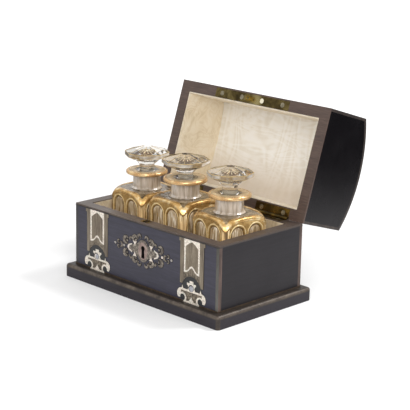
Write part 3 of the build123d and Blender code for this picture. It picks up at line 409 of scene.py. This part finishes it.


# One ebonised wood in lit and shaded copies: the front's lighter, bluer tone and bluer reflection tint are
# painted light, and the darker tones of the sides, the lid and most of all the lid ends are painted shade.
front_ebony = ebony("ebonised_front", srgb(33, 32, 44), srgb(49, 47, 62), polish=(0.95, 0.94, 1.0))
side_ebony = ebony("ebonised_side", srgb(14, 12, 15), srgb(24, 21, 25), grain=(12, 1, 12),
                   polish=(1.0, 0.95, 1.0), shine=0.34)
lid_ebony = ebony("ebonised_lid", srgb(14, 12, 15), srgb(24, 22, 26), turn=LID_TURN)
lid_end_ebony = ebony("ebonised_lid_end", srgb(9, 8, 10), srgb(18, 16, 19), turn=LID_TURN, grain=(12, 1, 12),
                      polish=(1.0, 0.95, 0.98), shine=0.3, rough=0.2)
plinth_ebony = ebony("ebonised_plinth", srgb(21, 18, 24), srgb(35, 31, 38), polish=(1.0, 0.94, 1.0),
                     shine=0.38)
spandrel_ebony = ebony("ebonised_spandrel", srgb(18, 18, 19), srgb(30, 31, 31))
rim_wood = streaked_wood("rosewood_rim", srgb(58, 46, 42), srgb(88, 75, 66), srgb(118, 104, 90),
                         darker_right=0.75)
lid_rim_wood = streaked_wood("rosewood_lid_rim", srgb(54, 40, 35), srgb(81, 64, 56), srgb(106, 86, 76),
                             turn=LID_TURN)
ledge_wood = streaked_wood("plinth_ledge", srgb(30, 24, 20), srgb(43, 35, 28), srgb(58, 48, 38))
mastic = patina("black_mastic", srgb(16, 14, 14), srgb(26, 23, 22), srgb(44, 38, 34), 0.0)
# The plinth bead is paler between two heights along its rounded edge, a painted highlight.
strip = patina("patinated_strip", srgb(44, 37, 32), srgb(80, 69, 60), srgb(104, 93, 80), 0.2,
               painted_highlight=(0.0090, 0.0106))
lid_strip = patina("lid_strip", srgb(40, 34, 32), srgb(56, 48, 45), srgb(78, 68, 62), 0.2)
foot_strip = patina("foot_strip", srgb(48, 38, 28), srgb(70, 57, 42), srgb(90, 74, 54), 0.2)
ring_brass = patina("keyhole_brass", srgb(112, 94, 86), srgb(150, 128, 120), srgb(178, 158, 148), 0.3)
post_strip = corner_post()
scroll_brass = engraved_brass("scroll_brass")
strap_brass = {side: engraved_brass(f"{side}_strap_brass", x) for side, x in STRAPS.items()}
scroll_shell = pearl("scroll_pearl", srgb(222, 212, 198), srgb(228, 206, 196), srgb(196, 198, 188),
                     ends=(-0.0205, 0.030))
shell = pearl("mother_of_pearl", srgb(232, 224, 208), srgb(238, 218, 208), srgb(208, 212, 200))
stud_shell = pearl("grey_pearl", srgb(158, 160, 168), srgb(186, 186, 192), srgb(140, 144, 150))
fitting = polished_brass("fitting_brass", srgb(60, 50, 24), srgb(104, 90, 46), srgb(160, 140, 84))
hinge_brass = polished_brass("hinge_brass", srgb(40, 32, 18), srgb(76, 62, 30), srgb(140, 110, 46),
                             patches=60)
# The bright patch round the link plate's loop is a painted highlight.
highlight_place = middle_of("link_plate") + Vector((0.005, 0, 0))
link_brass = polished_brass("link_brass", srgb(46, 38, 22), srgb(84, 72, 42), srgb(120, 106, 66),
                            bright=(highlight_place, 0.008, srgb(152, 138, 94)))
screw_steel = steel("screw_steel")
# The third screw's near-white glint is a painted highlight.
link_screw_steel = steel("link_screw_steel", third_screw())
gold = gilding("gilding", srgb(154, 114, 60), srgb(210, 170, 106), srgb(253, 234, 188), 0.2, 0.65)
# The flute outlines' pale gold is a painted highlight.
bright_gold = gilding("bright_gilding", srgb(232, 198, 132), srgb(250, 224, 166), srgb(255, 242, 204), 0.3,
                      0.35)
wash_gold = gilding("wash_gold", srgb(142, 108, 58), srgb(186, 148, 88), srgb(220, 188, 128), 0.3, 0.5)
rim_gold = gilding("rim_gold", srgb(182, 142, 94), srgb(214, 174, 122), srgb(246, 220, 168), 0.2, 0.65)
collar_gold = gilding("collar_gold", srgb(156, 130, 92), srgb(188, 162, 122), srgb(212, 190, 152), 0.3, 0.2)
ridge_gold = gilding("ridge_gold", srgb(150, 126, 84), srgb(186, 160, 112), srgb(214, 190, 142), 0.3, 0.5)
star_gold = gilding("star_gold", srgb(100, 74, 44), srgb(130, 102, 66), srgb(162, 134, 94), 0.4, 0.15)
rib_gold = gilding("rib_gold", srgb(222, 200, 160), srgb(240, 224, 190), srgb(252, 242, 220), 0.35, 0.1)
# The flute grooves' dark gold is a painted shade at the foot of the slopes.
groove_gold = gilding("groove_gold", srgb(80, 60, 32), srgb(112, 88, 50), srgb(146, 116, 70), 0.45, 0.3)
corner_gold = corner_gold_leaf()
flute_glass = fluted_glass()
# The cut crystal's brown and beige, and its warm reflection tint, are painted reflections of the gilding and
# silk seen in the glass.
glass = crystal("cut_crystal", srgb(86, 67, 40), srgb(180, 158, 124), 0.35, 0.03, 260, depth=0.0007,
                glint=(1.0, 0.84, 0.62))
stopper_glass = crystal("stopper_crystal", (0.90, 0.86, 0.79), (0.98, 0.96, 0.92), 0.97, 0.0, 90, bend=1.24)
# The girdle's beige-gold is a painted reflection.
girdle_glass = crystal("girdle_crystal", srgb(176, 150, 108), srgb(252, 248, 240), 0.6, 0.0, 160, bend=1.3)
neck_frost = crystal("frosted_crystal", srgb(168, 150, 128), srgb(222, 207, 190), 0.2, 0.22, 620,
                     depth=0.0003, drawn=(1, 1, 0.12))
plug_frost = crystal("ground_plug", srgb(196, 186, 168), srgb(226, 218, 204), 0.15, 0.3, 300)
# One silk in lit and shaded copies: the ceiling's near-white tones are painted light, the case's darker tones
# painted shade, and the ceiling's foot tone a painted shade.
ceiling_silk = silk("silk_ceiling", srgb(240, 235, 225), srgb(249, 246, 239), srgb(254, 252, 248),
                    turn=LID_TURN, watering=0.12, foot=srgb(206, 190, 170))
lid_silk = silk("silk_lid_sides", srgb(224, 208, 178), srgb(240, 227, 203), srgb(249, 240, 222),
                turn=LID_TURN)
case_silk = silk("silk_case", srgb(196, 176, 142), srgb(216, 199, 168), srgb(230, 217, 192))

for material, names in (
    (front_ebony, "case_front_wall"),
    (side_ebony, "case_right_wall case_left_wall case_back_wall"),
    (lid_ebony, "lid_front_wall lid_back_wall lid_top_panel"),
    (lid_end_ebony, "lid_left_end lid_right_end"),
    (plinth_ebony, "base_board plinth_front_moulding plinth_right_moulding"),
    (plinth_ebony, "plinth_back_moulding plinth_left_moulding"),
    (rim_wood, "case_rim"),
    (lid_rim_wood, "lid_rim"),
    (strip, "plinth_stringing"),
    (lid_strip, "lid_edge_stringing"),
    (post_strip, "case_corner_stringing"),
    (strap_brass["left"], "left_strap_brass"),
    (strap_brass["right"], "right_strap_brass"),
    (scroll_brass, "escutcheon_brass"),
    (ring_brass, "keyhole_ring"),
    (shell, "left_strap_pearl right_strap_pearl left_cartouche_pearl right_cartouche_pearl"),
    (scroll_shell, "escutcheon_pearl"),
    (stud_shell, "cartouche_studs"),
    (fitting, "lock_case lock_cover_plate lock_selvedge"),
    (link_brass, "link_plate"),
    (hinge_brass, "left_hinge_case_leaf left_hinge_lid_leaf right_hinge_case_leaf right_hinge_lid_leaf"),
    # The key pin takes the black mastic, a painted shade inside the keyhole.
    (mastic, "lock_key_pin"),
    (screw_steel, "lock_bolt left_hinge_pin right_hinge_pin hinge_case_screws hinge_lid_screws"),
    (link_screw_steel, "link_plate_screws"),
    (glass, "left_flacon middle_flacon right_flacon"),
    (stopper_glass, "left_stopper middle_stopper right_stopper"),
    (ceiling_silk, "lid_ceiling_lining"),
    (lid_silk, "lid_front_lining lid_back_lining lid_left_lining lid_right_lining"),
    (case_silk, "case_floor_lining case_front_lining case_back_lining case_left_lining case_right_lining"),
):
    for name in names.split():
        nodes[name].data.materials.clear()
        nodes[name].data.materials.append(material)


# Meshes, each a list of vertices in millimetres and a list of faces
def loft(rings, closed=True):
    """Faces between rings of points; when closed, the last ring joins the first."""
    count, size = len(rings), len(rings[0])
    verts = [v for ring in rings for v in ring]
    faces = []
    for i in range(count if closed else count - 1):
        j = (i + 1) % count
        for k in range(size):
            n = (k + 1) % size
            faces.append((i * size + k, i * size + n, j * size + n, j * size + k))
    return verts, faces


def capped_loft(rings):
    """Faces between a row of rings, with the first and the last ring filled."""
    verts, faces = loft(rings, closed=False)
    size = len(rings[0])
    faces.append(tuple(reversed(range(size))))
    faces.append(tuple(range(len(verts) - size, len(verts))))
    return verts, faces


def polar(radius, angle, z):
    return Vector((radius * math.cos(angle), radius * math.sin(angle), z))


def turned(section_at, steps):
    """A closed section of (radius, height), given for each angle, turned about the axis of a flacon."""
    rings = []
    for k in range(steps):
        a = 2 * math.pi * k / steps
        rings.append([polar(radius, a, z) for radius, z in section_at(a)])
    return loft(rings)


def lathe(profile):
    """A closed profile of (radius, height) turned about the axis of a flacon."""
    return turned(lambda angle: profile, 64)


def bar(a, b, half, out):
    """A straight, four-sided bar from a to b, of a half width, whose back lies away from a direction."""
    along = (b - a).normalized()
    side = along.cross(out).normalized()
    up = side.cross(along).normalized()
    section = ((-half, -0.12), (-half * 0.8, 0.14), (half * 0.8, 0.14), (half, -0.12))
    verts = [p + side * s + up * h for p in (a, b) for s, h in section]
    faces = [(m, (m + 1) % 4, 4 + (m + 1) % 4, 4 + m) for m in range(4)]
    return verts, faces + [(3, 2, 1, 0), (4, 5, 6, 7)]


def join(meshes):
    verts, faces = [], []
    for more_verts, more_faces in meshes:
        faces += [tuple(i + len(verts) for i in face) for face in more_faces]
        verts += more_verts
    return verts, faces


def flat_sheet(outer, holes, thickness, bevel):
    """A flat sheet with holes and soft edges, in its own plane, made from a filled curve."""
    curve = bpy.data.curves.new("sheet", "CURVE")
    curve.dimensions = "2D"
    curve.fill_mode = "BOTH"
    curve.extrude = thickness / 2
    curve.bevel_depth = bevel
    curve.bevel_resolution = 1
    for points in [outer] + holes:
        spline = curve.splines.new("POLY")
        spline.points.add(len(points) - 1)
        for p, (x, y) in zip(spline.points, points):
            p.co = (x, y, 0, 1)
        spline.use_cyclic_u = True
    obj = bpy.data.objects.new("sheet", curve)
    scene.collection.objects.link(obj)
    bpy.context.view_layer.update()
    mesh = bpy.data.meshes.new_from_object(obj.evaluated_get(bpy.context.evaluated_depsgraph_get()))
    verts = [v.co.copy() for v in mesh.vertices]
    faces = [tuple(p.vertices) for p in mesh.polygons]
    bpy.data.objects.remove(obj)
    return verts, faces


def piece(name, mesh, material, body="case", smooth=False):
    """A visible piece that rides on a body."""
    verts, faces = mesh
    data = bpy.data.meshes.new(name)
    data.from_pydata([Vector(v) * MM for v in verts], [], faces)
    data.validate()
    data.materials.append(material)
    obj = bpy.data.objects.new(name, data)
    scene.collection.objects.link(obj)
    for polygon in data.polygons:
        polygon.use_smooth = smooth
    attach(obj, body)


# Flacons and stoppers
class Flacon:
    """Where a flacon stands, and the heights of its parts over its own foot."""

    def __init__(self, name):
        x, turn, rise, girth, stem = FLACONS[name]
        self.name = name
        self.place = Matrix.Translation((x, 0, FLACON_Z)) @ Matrix.Rotation(math.radians(turn), 4, "Z")
        self.girth = girth
        self.top = BODY + rise
        self.lip = self.top + COLLAR_TOP
        self.crown = self.lip + STOPPER_RISE + stem
        self.girdle = self.crown - GIRDLE_DROP

    def skin(self, part, mesh, material, body="flacon", smooth=True):
        """A thin skin, drawn about the flacon's axis, that rides on the flacon or on its stopper."""
        verts, faces = mesh
        placed = [self.place @ Vector(v) for v in verts]
        piece(f"{self.name}_{part}", (placed, faces), material, f"{self.name}_{body}", smooth)


def bend_radius():
    """The radius of the curve by which the shoulder falls to the flacon's corners."""
    corner = SIDE / 2 * math.sqrt(2) - CORNER * (math.sqrt(2) - 1)
    run = corner - SHOULDER_FLAT
    return (run * run + SHOULDER_DROP * SHOULDER_DROP) / (2 * SHOULDER_DROP)


BEND = bend_radius()


def dome_z(radius, top):
    """Height of a flacon's cushioned shoulder at a distance from its axis."""
    if radius <= SHOULDER_FLAT:
        return top
    return top - BEND + math.sqrt(max(BEND * BEND - (radius - SHOULDER_FLAT) ** 2, 0))


def body_edge(steps_flat=14, steps_corner=8):
    """Points round a flacon's body, each with its outward direction, counterclockwise from the front left."""
    flat = SIDE / 2 - CORNER
    edge = []
    for quarter in range(4):
        turn = Matrix.Rotation(math.pi / 2 * quarter, 2)
        for k in range(steps_flat):
            u = -flat + 2 * flat * k / steps_flat
            edge.append((turn @ Vector((u, -SIDE / 2)), turn @ Vector((0, -1))))
        for k in range(steps_corner):
            a = -math.pi / 2 + math.pi / 2 * k / steps_corner
            out = Vector((math.cos(a), math.sin(a)))
            edge.append((turn @ (Vector((flat, -flat)) + CORNER * out), turn @ out))
    return edge


def shoulder_section(point, out, top):
    """The closed section of the band at one point of the edge, narrower towards the corners."""
    full_width = 0.93 * SIDE / 2 * math.sqrt(2)
    cornerness = max(0.0, (point.length - full_width + 3.0) / 3.0)
    spread = 1.0 - 0.4 * min(1.0, cornerness)

    def dome(inward, proud):
        q = point - out * inward * spread
        return Vector((q.x, q.y, dome_z(q.length, top) + proud))

    def face(down, proud):
        q = point + out * proud
        return Vector((q.x, q.y, dome_z(point.length, top) - down * spread))

    over = [dome(3.9, 0.02), dome(3.6, 0.22), dome(2.2, 0.34), dome(0.8, 0.36)]
    fold = [(dome(0, 0.3) + face(0, 0.24)) / 2]
    down = [face(0.8, 0.34), face(1.8, 0.34), face(2.9, 0.22), face(3.2, 0.02)]
    back = [face(2.6, -0.15), face(0.5, -0.2), dome(1.2, -0.3), dome(3.4, -0.15)]
    return over + fold + down + back


def shoulder_gilding(flacon):
    """The broad gilt band that folds over the edge between each face and the shoulder."""
    sections = [shoulder_section(point, out, flacon.top) for point, out in body_edge()]
    flacon.skin("shoulder_gilding", loft(sections), gold)


def slot_ring(cx, low, high, width, steps=12):
    """A tall slot with round ends."""
    r = width / 2
    points = []
    for k in range(steps + 1):
        a = math.pi * k / steps
        points.append((cx + r * math.cos(a), high - r + r * math.sin(a)))
    for k in range(steps + 1):
        a = math.pi + math.pi * k / steps
        points.append((cx + r * math.cos(a), low + r + r * math.sin(a)))
    return points


def flute_ring(flacon, cx, inset, out):
    """A flute's outline made smaller by inset, as points (across, up, out) on a face."""
    low, high = FLUTE_FOOT + inset, flacon.top - FLUTE_DROP - inset
    return [(x, z, out) for x, z in slot_ring(cx, low, high, FLUTE_WIDTH - 2 * inset)]


def on_faces(mesh):
    """A mesh drawn on a face as (across, up, out), repeated on all four faces of a flacon."""
    verts, faces = mesh
    upright = Matrix.Translation((0, -SIDE / 2, 0)) @ Matrix.Rotation(math.pi / 2, 4, "X")
    turns = [Matrix.Rotation(math.pi / 2 * quarter, 4, "Z") @ upright for quarter in range(4)]
    return join([([turn @ Vector(v) for v in verts], faces) for turn in turns])


def flute_bands(flacon):
    """Each flute's bright outline, the amber slope inside it and the dark line at the slope's foot: the
    outline's pale gold is a painted highlight, the dark line a painted shade.
    """
    outline = [(-0.7, -0.1), (-0.55, 0.22), (-0.1, 0.45), (0.4, 0.22), (0.55, -0.12), (-0.1, -0.3)]
    slope = [(0.45, -0.05), (0.9, -0.2), (1.4, -0.5), (1.4, -0.66), (0.45, -0.66)]
    groove = [(1.3, -0.48), (1.6, -0.4), (2.0, -0.5), (2.0, -0.68), (1.3, -0.68)]
    for part, section, material in (
        ("flute_outlines", outline, bright_gold),
        ("flute_slopes", slope, wash_gold),
        ("flute_grooves", groove, groove_gold),
    ):
        bands = [loft([flute_ring(flacon, cx, inset, out) for inset, out in section]) for cx in FLUTES]
        flacon.skin(part, on_faces(join(bands)), material)


def flute_cushions(flacon):
    """The glass pillow that stands in each flute."""
    section = ((1.9, -0.68), (2.0, -0.4), (2.5, -0.1), (3.6, 0.1), (5.0, 0.16))
    pillows = [capped_loft([flute_ring(flacon, cx, inset, out) for inset, out in section]) for cx in FLUTES]
    flacon.skin("flute_cushions", on_faces(join(pillows)), flute_glass)


def neck_frosting(flacon):
    """The frosted and finely ribbed skin of the neck."""
    radius = NECK_RADIUS * (1 + flacon.girth) / 2
    low, high = flacon.top + 0.15, flacon.top + COLLAR_FOOT - 0.15
    flare_end = 0.17

    def section(angle):
        skin = radius + 0.2 + 0.03 * math.cos(40 * angle)
        points = []
        for t in (0, 0.03, 0.06, 0.09, 0.13, flare_end, 0.5, 0.9, 0.96, 1):
            flare = 1.6 * max(0.0, 1 - t / flare_end) ** 2
            points.append((skin + flare, low + (high - low) * t))
        return points + [(radius + 0.02, high), (radius + 0.02, low)]

    flacon.skin("neck_frosting", turned(section, 160), neck_frost)


def face_gilding(flacon):
    """Gold on the lands of the four faces, left open over the flutes."""
    flat, columns = SIDE / 2 - CORNER, 16
    outer = [(-flat, GILDING_FOOT), (flat, GILDING_FOOT)]
    for k in range(columns + 1):
        u = flat - 2 * flat * k / columns
        outer.append((u, dome_z(math.hypot(u, SIDE / 2), flacon.top) - 2.2))
    holes = [slot_ring(cx, FLUTE_FOOT, flacon.top - FLUTE_DROP, FLUTE_WIDTH - 0.4) for cx in FLUTES]
    verts, faces = flat_sheet(outer, holes, 0.12, 0.12)
    proud = [(x, y, z + 0.06) for x, y, z in verts]
    flacon.skin("face_gilding", on_faces((proud, faces)), wash_gold, smooth=False)


def corner_gilding(flacon):
    """The pale gilding over the four rounded corners."""
    flat, columns, proud, thickness = SIDE / 2 - CORNER, 9, 0.18, 0.3
    rings = []
    for k in range(columns):
        out = polar(1, -math.pi / 2 + math.pi / 2 * k / (columns - 1), 0)
        front = Vector((flat, -flat, 0)) + (CORNER + proud) * out
        back = front - thickness * out
        high = dome_z((front - proud * out).length, flacon.top) - 2.0
        rings.append([(back.x, back.y, GILDING_FOOT), (back.x, back.y, high),
                      (front.x, front.y, high), (front.x, front.y, GILDING_FOOT)])
    verts, faces = capped_loft(rings)
    spins = [Matrix.Rotation(math.pi / 2 * quarter, 4, "Z") for quarter in range(4)]
    corners = join([([spin @ Vector(v) for v in verts], faces) for spin in spins])
    flacon.skin("corner_gilding", corners, corner_gold)


def collar_gilding(flacon):
    """Gold round the collar's rim, over its top edge and under it, and a paler wash round the stopper."""
    r, low, high = COLLAR_RADIUS * flacon.girth, flacon.top + COLLAR_FOOT, flacon.lip
    over = [(r - 2.2, high - 0.05), (r - 2.0, high + 0.12), (r - 1.3, high + 0.14), (r - 0.45, high - 0.15),
            (r + 0.08, high - 0.75), (r + 0.16, high - 1.4)]
    under = [(r + 0.12, low + 0.3), (r - 0.1, low - 0.1), (r - 1.6, low - 0.12), (r - 1.8, low + 0.05)]
    back = [(r - 0.5, low + 0.3), (r - 0.3, high - 1.3), (r - 1.4, high - 0.2)]
    flacon.skin("collar_gilding", lathe(over + under + back), rim_gold)
    wash = [(r - 2.1, high - 0.1), (r - 2.1, high + 0.07), (r - 7.6, high + 0.07), (r - 7.6, high - 0.1)]
    flacon.skin("collar_wash", lathe(wash), collar_gold)


def stopper_gilding(flacon):
    """Gold lines along the ridges of the stopper's top, and round both edges of its girdle."""
    wide = GIRDLE_RADIUS * flacon.girth
    depth = Vector((0, 0, GIRDLE_THICKNESS - 0.1))
    step = 2 * math.pi / FACETS
    bars = []
    for k in range(FACETS):
        inner = polar(CROWN_RADIUS, step * k, flacon.crown)
        outer = polar(wide, step * k, flacon.girdle)
        following = polar(wide, step * (k + 1), flacon.girdle)
        outward = polar(1, step * (k + 0.5), 0.6)
        ridge_end = outer + (inner - outer).normalized() * 0.2
        bars.append(bar(inner, ridge_end, 0.22, polar(0.35, step * k, 1)))
        bars.append(bar(outer, following, 0.3, outward))
        bars.append(bar(outer - depth, following - depth, 0.15, Vector((outward.x, outward.y, -0.4))))
    flacon.skin("stopper_gilding", join(bars), ridge_gold, "stopper", smooth=False)


def stopper_girdle(flacon):
    """A skin over the eight upright facets round the stopper's edge, its beige-gold a painted reflection."""
    outside, inside = GIRDLE_RADIUS + 0.06, GIRDLE_RADIUS - 0.2
    high, low = flacon.girdle - 0.35, flacon.girdle + 0.3 - GIRDLE_THICKNESS
    rings = []
    for radius, z in ((outside, high), (outside, low), (inside, low), (inside, high)):
        rings.append([polar(radius * flacon.girth, 2 * math.pi / FACETS * k, z) for k in range(FACETS)])
    flacon.skin("stopper_girdle", loft(rings), girdle_glass, "stopper", smooth=False)


def stopper_star(flacon):
    """The gilt, ribbed cone that shows through the crown, as a fan of ridges and hollows."""

    def section(angle):
        ridge = 0.5 + 0.5 * math.cos(STAR_RIBS * angle)
        points = ((1.0, -1.6), (3.6, -2.7 + 0.8 * ridge), (6.6, -4.3 + 0.9 * ridge), (6.4, -4.6), (3.4, -3.2),
                  (0.9, -2.0))
        return [(radius, flacon.girdle + z) for radius, z in points]

    flacon.skin("stopper_star", turned(section, 8 * STAR_RIBS), star_gold, "stopper")


def stopper_ribs(flacon):
    """The bright ribs of the star, from its middle to its edge."""
    ribs = []
    for k in range(STAR_RIBS):
        a = 2 * math.pi / STAR_RIBS * k
        inner, outer = polar(1.3, a, flacon.girdle - 1.2), polar(6.5, a, flacon.girdle - 3.2)
        ribs.append(bar(inner, outer, 0.38, Vector((0, 0, 1))))
    flacon.skin("stopper_ribs", join(ribs), rib_gold, "stopper", smooth=False)


def plug_frosting(flacon):
    """The ground skin of the stopper's plug, within its clearance in the neck."""
    wide, narrow = PLUG_RADIUS, PLUG_RADIUS - PLUG_TAPER * PLUG_DEPTH
    high, low = flacon.lip - 0.1, flacon.lip - PLUG_DEPTH
    profile = [(wide + 0.01, high), (wide + 0.05, high), (narrow + 0.05, low), (narrow + 0.01, low)]
    flacon.skin("plug_frosting", lathe(profile), plug_frost, "stopper")


# Pieces on the case, drawn as (x, z) points on its front
def spandrel(side, x):
    """The blacker patch of ebony that fills the strap's foot arch behind the cartouche."""
    half, foot, rise, steps = 10.2, 25.8, 7.2, 24
    radius = (half * half + rise * rise) / (2 * rise)
    outline = []
    for k in range(steps + 1):
        u = half - 2 * half * k / steps
        outline.append((x + u, foot + rise - radius + math.sqrt(radius * radius - u * u)))
    outline += [(x - 13.0, 21.0), (x - 12.5, 12.6), (x + 12.5, 12.6), (x + 13.0, 21.0)]
    rings = [[(px, y, pz) for px, pz in outline] for y in (-HALF_D - 0.06, -HALF_D - 0.01)]
    piece(f"{side}_spandrel", capped_loft(rings), spandrel_ebony)


def edge_strip(edge, face, width):
    """A flat strip just off the front, along the outer side of a face's edge."""
    a, b = (v.co / MM for v in edge.verts)
    lap = (b - a).normalized() * 0.1
    loop = next(corner for corner in face.loops if corner.edge == edge)
    forward = loop.link_loop_next.vert.co / MM - loop.vert.co / MM
    out = forward.cross(face.normal).normalized()
    verts = []
    for p in (a - lap, b + lap):
        for reach in (-0.1, width):
            verts.append((p.x + out.x * reach, -HALF_D - 0.02, p.z + out.z * reach))
    return verts, [(0, 1, 3, 2)]


def mastic_outline(node, width=0.45):
    """A fine black line round every edge of an inlaid piece, read from the piece's own outline."""
    source = nodes[node].data
    front = min(v.co.y for v in source.vertices) + 1e-5
    mesh = bmesh.new()
    mesh.from_mesh(source)
    bmesh.ops.remove_doubles(mesh, verts=mesh.verts, dist=1e-6)
    fronts = {f for f in mesh.faces if all(v.co.y < front for v in f.verts)}
    strips = []
    for edge in mesh.edges:
        owners = [f for f in edge.link_faces if f in fronts]
        if len(owners) == 1:
            strips.append(edge_strip(edge, owners[0], width))
    mesh.free()
    piece(f"{node}_mastic", join(strips), mastic)


def keyhole_outline(inset):
    """The keyhole about its own middle, made smaller by inset: a round bow over a flaring slot."""
    bow_radius, half_height, waist, foot, steps = 2.2, 5.25, 1.5, 1.95, 24
    radius = bow_radius - inset
    start = math.asin((waist - inset) / radius)
    points = []
    for k in range(steps + 1):
        a = -math.pi / 2 + start + (2 * math.pi - 2 * start) * k / steps
        points.append((radius * math.cos(a), half_height - bow_radius + radius * math.sin(a)))
    return points + [(-foot + inset, -half_height + inset), (foot - inset, -half_height + inset)]


def keyhole_shade():
    """The black inside of the keyhole, through the front wall: a painted shade."""
    middle_x, middle_z, front, back = -0.8, 40.0, -47.7, -41.6
    rings = []
    for inset, y in ((0.03, front), (0.03, back), (0.25, back), (0.25, front)):
        rings.append([(x + middle_x, y, z + middle_z) for x, z in keyhole_outline(inset)])
    piece("keyhole_shade", loft(rings), mastic)


def stud_ring(side, x):
    """The dark crescent of mastic round the grey stud in a cartouche's crown, wider at the upper left."""
    stud_z, stud_radius, back, front, steps = 23.3, 2.32, -47.78, -47.86, 32
    inner, outer = [], []
    for k in range(steps):
        a = 2 * math.pi * k / steps
        wide = 0.5 + 0.35 * math.cos(a - math.radians(125))
        for ring, radius in ((inner, stud_radius), (outer, stud_radius + wide)):
            ring.append((x + radius * math.cos(a), stud_z + radius * math.sin(a)))
    rings = []
    for ring, y in ((inner, back), (inner, front), (outer, front), (outer, back)):
        rings.append([(px, y, pz) for px, pz in ring])
    piece(f"{side}_stud_ring", loft(rings), mastic)


def rectangle_band(name, proud, thickness, heights, material):
    """A level rectangular band round the case, standing proud of its walls, between two heights."""
    low, high = heights
    rings = []
    for inset, z in ((0, low), (0, high), (thickness, high), (thickness, low)):
        x, y = HALF_W + proud[0] - inset, HALF_D + proud[1] - inset
        rings.append([(-x, -y, z), (x, -y, z), (x, y, z), (-x, y, z)])
    piece(name, loft(rings), material)


for side, x in STRAPS.items():
    spandrel(side, x)
    stud_ring(side, x)
keyhole_shade()
# A dark line of mastic in the joint under the rim that also stands for the rim's shadow: partly a real joint,
# partly a painted shadow.
rectangle_band("rim_joint_shadow", (0.03, 0.36), 0.36, (62.4, 62.82), mastic)
rectangle_band("case_foot_line", (0.25, 0.25), 0.3, (11.0, 12.1), foot_strip)
rectangle_band("plinth_ledge", (3.6, 3.6), 3.0, (10.98, 11.04), ledge_wood)
for node in ("left_strap_brass", "right_strap_brass", "left_cartouche_pearl", "right_cartouche_pearl",
             "escutcheon_brass", "escutcheon_pearl", "keyhole_ring"):
    mastic_outline(node)

for name in FLACONS:
    flacon = Flacon(name)
    for dress in (flute_bands, flute_cushions, neck_frosting, shoulder_gilding, face_gilding, corner_gilding,
                  collar_gilding, stopper_gilding, stopper_girdle, stopper_star, stopper_ribs, plug_frosting):
        dress(flacon)

# Floor, world, lamps and camera
AMBIENT = 0.85
FLOOR_LIFT = 0.13
MIRROR_NEAR, MIRROR_FAR = 0.31, 0.48


def white_stage(name):
    """A matt floor that keeps the shadow, lifted to full white where seen; its mirror image fades away."""
    g = Graph(name)
    path = g.node("ShaderNodeLightPath")
    straight = g.math("MAXIMUM", path.outputs["Is Camera Ray"], path.outputs["Is Transmission Ray"])
    mirrored = path.outputs["Is Glossy Ray"]
    away = g.node("ShaderNodeVectorMath", {0: g.place}, operation="LENGTH").outputs["Value"]
    near = g.span(away, MIRROR_NEAR, MIRROR_FAR, 1.0, 0.0)
    seen = g.math("MAXIMUM", straight, g.times(mirrored, near))
    fade = g.times(mirrored, g.math("SUBTRACT", 1.0, near))
    white = g.mix(g.noise(40, 2), (0.84, 0.84, 0.84), (0.86, 0.86, 0.86))
    lift = g.span(away, 0.5, 1.5, FLOOR_LIFT, FLOOR_LIFT + 0.5)
    return g.shade(Base_Color=g.mix(fade, white, (0.02, 0.02, 0.02)), Roughness=0.9, Specular_IOR_Level=0.0,
                   Emission_Color=(1, 1, 1), Emission_Strength=g.times(seen, lift))


def white_world():
    """Full white where the world is seen, straight or in the gloss and glass, and softer as a light."""
    world = bpy.data.worlds.new("studio")
    scene.world = world
    world.use_nodes = True
    tree = world.node_tree
    background = tree.nodes["Background"]
    background.inputs[0].default_value = (1, 1, 1, 1)
    light_path = tree.nodes.new("ShaderNodeLightPath")
    seen = light_path.outputs["Is Camera Ray"]
    for ray in ("Is Glossy Ray", "Is Transmission Ray"):
        larger = tree.nodes.new("ShaderNodeMath")
        larger.operation = "MAXIMUM"
        tree.links.new(seen, larger.inputs[0])
        tree.links.new(light_path.outputs[ray], larger.inputs[1])
        seen = larger.outputs[0]
    strength = tree.nodes.new("ShaderNodeMapRange")
    strength.inputs["To Min"].default_value = AMBIENT
    strength.inputs["To Max"].default_value = 1.0
    tree.links.new(seen, strength.inputs["Value"])
    tree.links.new(strength.outputs[0], background.inputs[1])


def lamp(name, position, target, size, power):
    data = bpy.data.lights.new(name, "AREA")
    data.shape = "RECTANGLE"
    data.size = data.size_y = size
    data.energy = power
    obj = bpy.data.objects.new(name, data)
    scene.collection.objects.link(obj)
    obj.location = position
    obj.rotation_euler = (Vector(target) - Vector(position)).to_track_quat("-Z", "Y").to_euler()


def photo_camera():
    """The camera at the photograph's place, from the fit to the box's straight edges."""
    place = (0.7643, -0.7542, 0.3639)
    yaw, pitch, roll = -0.7783, 0.2662, -0.0213
    focal_pixels, photo_pixels, sensor = 1362.4, 410, 36
    forward = Vector((math.sin(yaw) * math.cos(pitch), math.cos(yaw) * math.cos(pitch), -math.sin(pitch)))
    level = Vector((math.cos(yaw), -math.sin(yaw), 0))
    under = forward.cross(level)
    right = level * math.cos(roll) + under * math.sin(roll)
    down = under * math.cos(roll) - level * math.sin(roll)
    data = bpy.data.cameras.new("camera")
    data.lens = focal_pixels / photo_pixels * sensor
    data.sensor_width = sensor
    data.clip_start, data.clip_end = 0.01, 20
    camera = bpy.data.objects.new("camera", data)
    scene.collection.objects.link(camera)
    facing = Matrix((right, -down, -forward)).transposed().to_4x4()
    camera.matrix_world = Matrix.Translation(place) @ facing
    scene.camera = camera


bpy.ops.mesh.primitive_plane_add(size=6, location=(0, 0, 0))
floor = bpy.context.object
floor.name = "floor"
floor.data.materials.append(white_stage("floor_white"))
white_world()
lamp("key_right", (0.8, -0.8, 0.62), (0, 0, 0.08), 0.5, 5.0)
lamp("back_right", (0.55, 0.75, 1.2), (0, 0, 0.05), 0.35, 10.0)
photo_camera()

scene.view_settings.view_transform = "Standard"
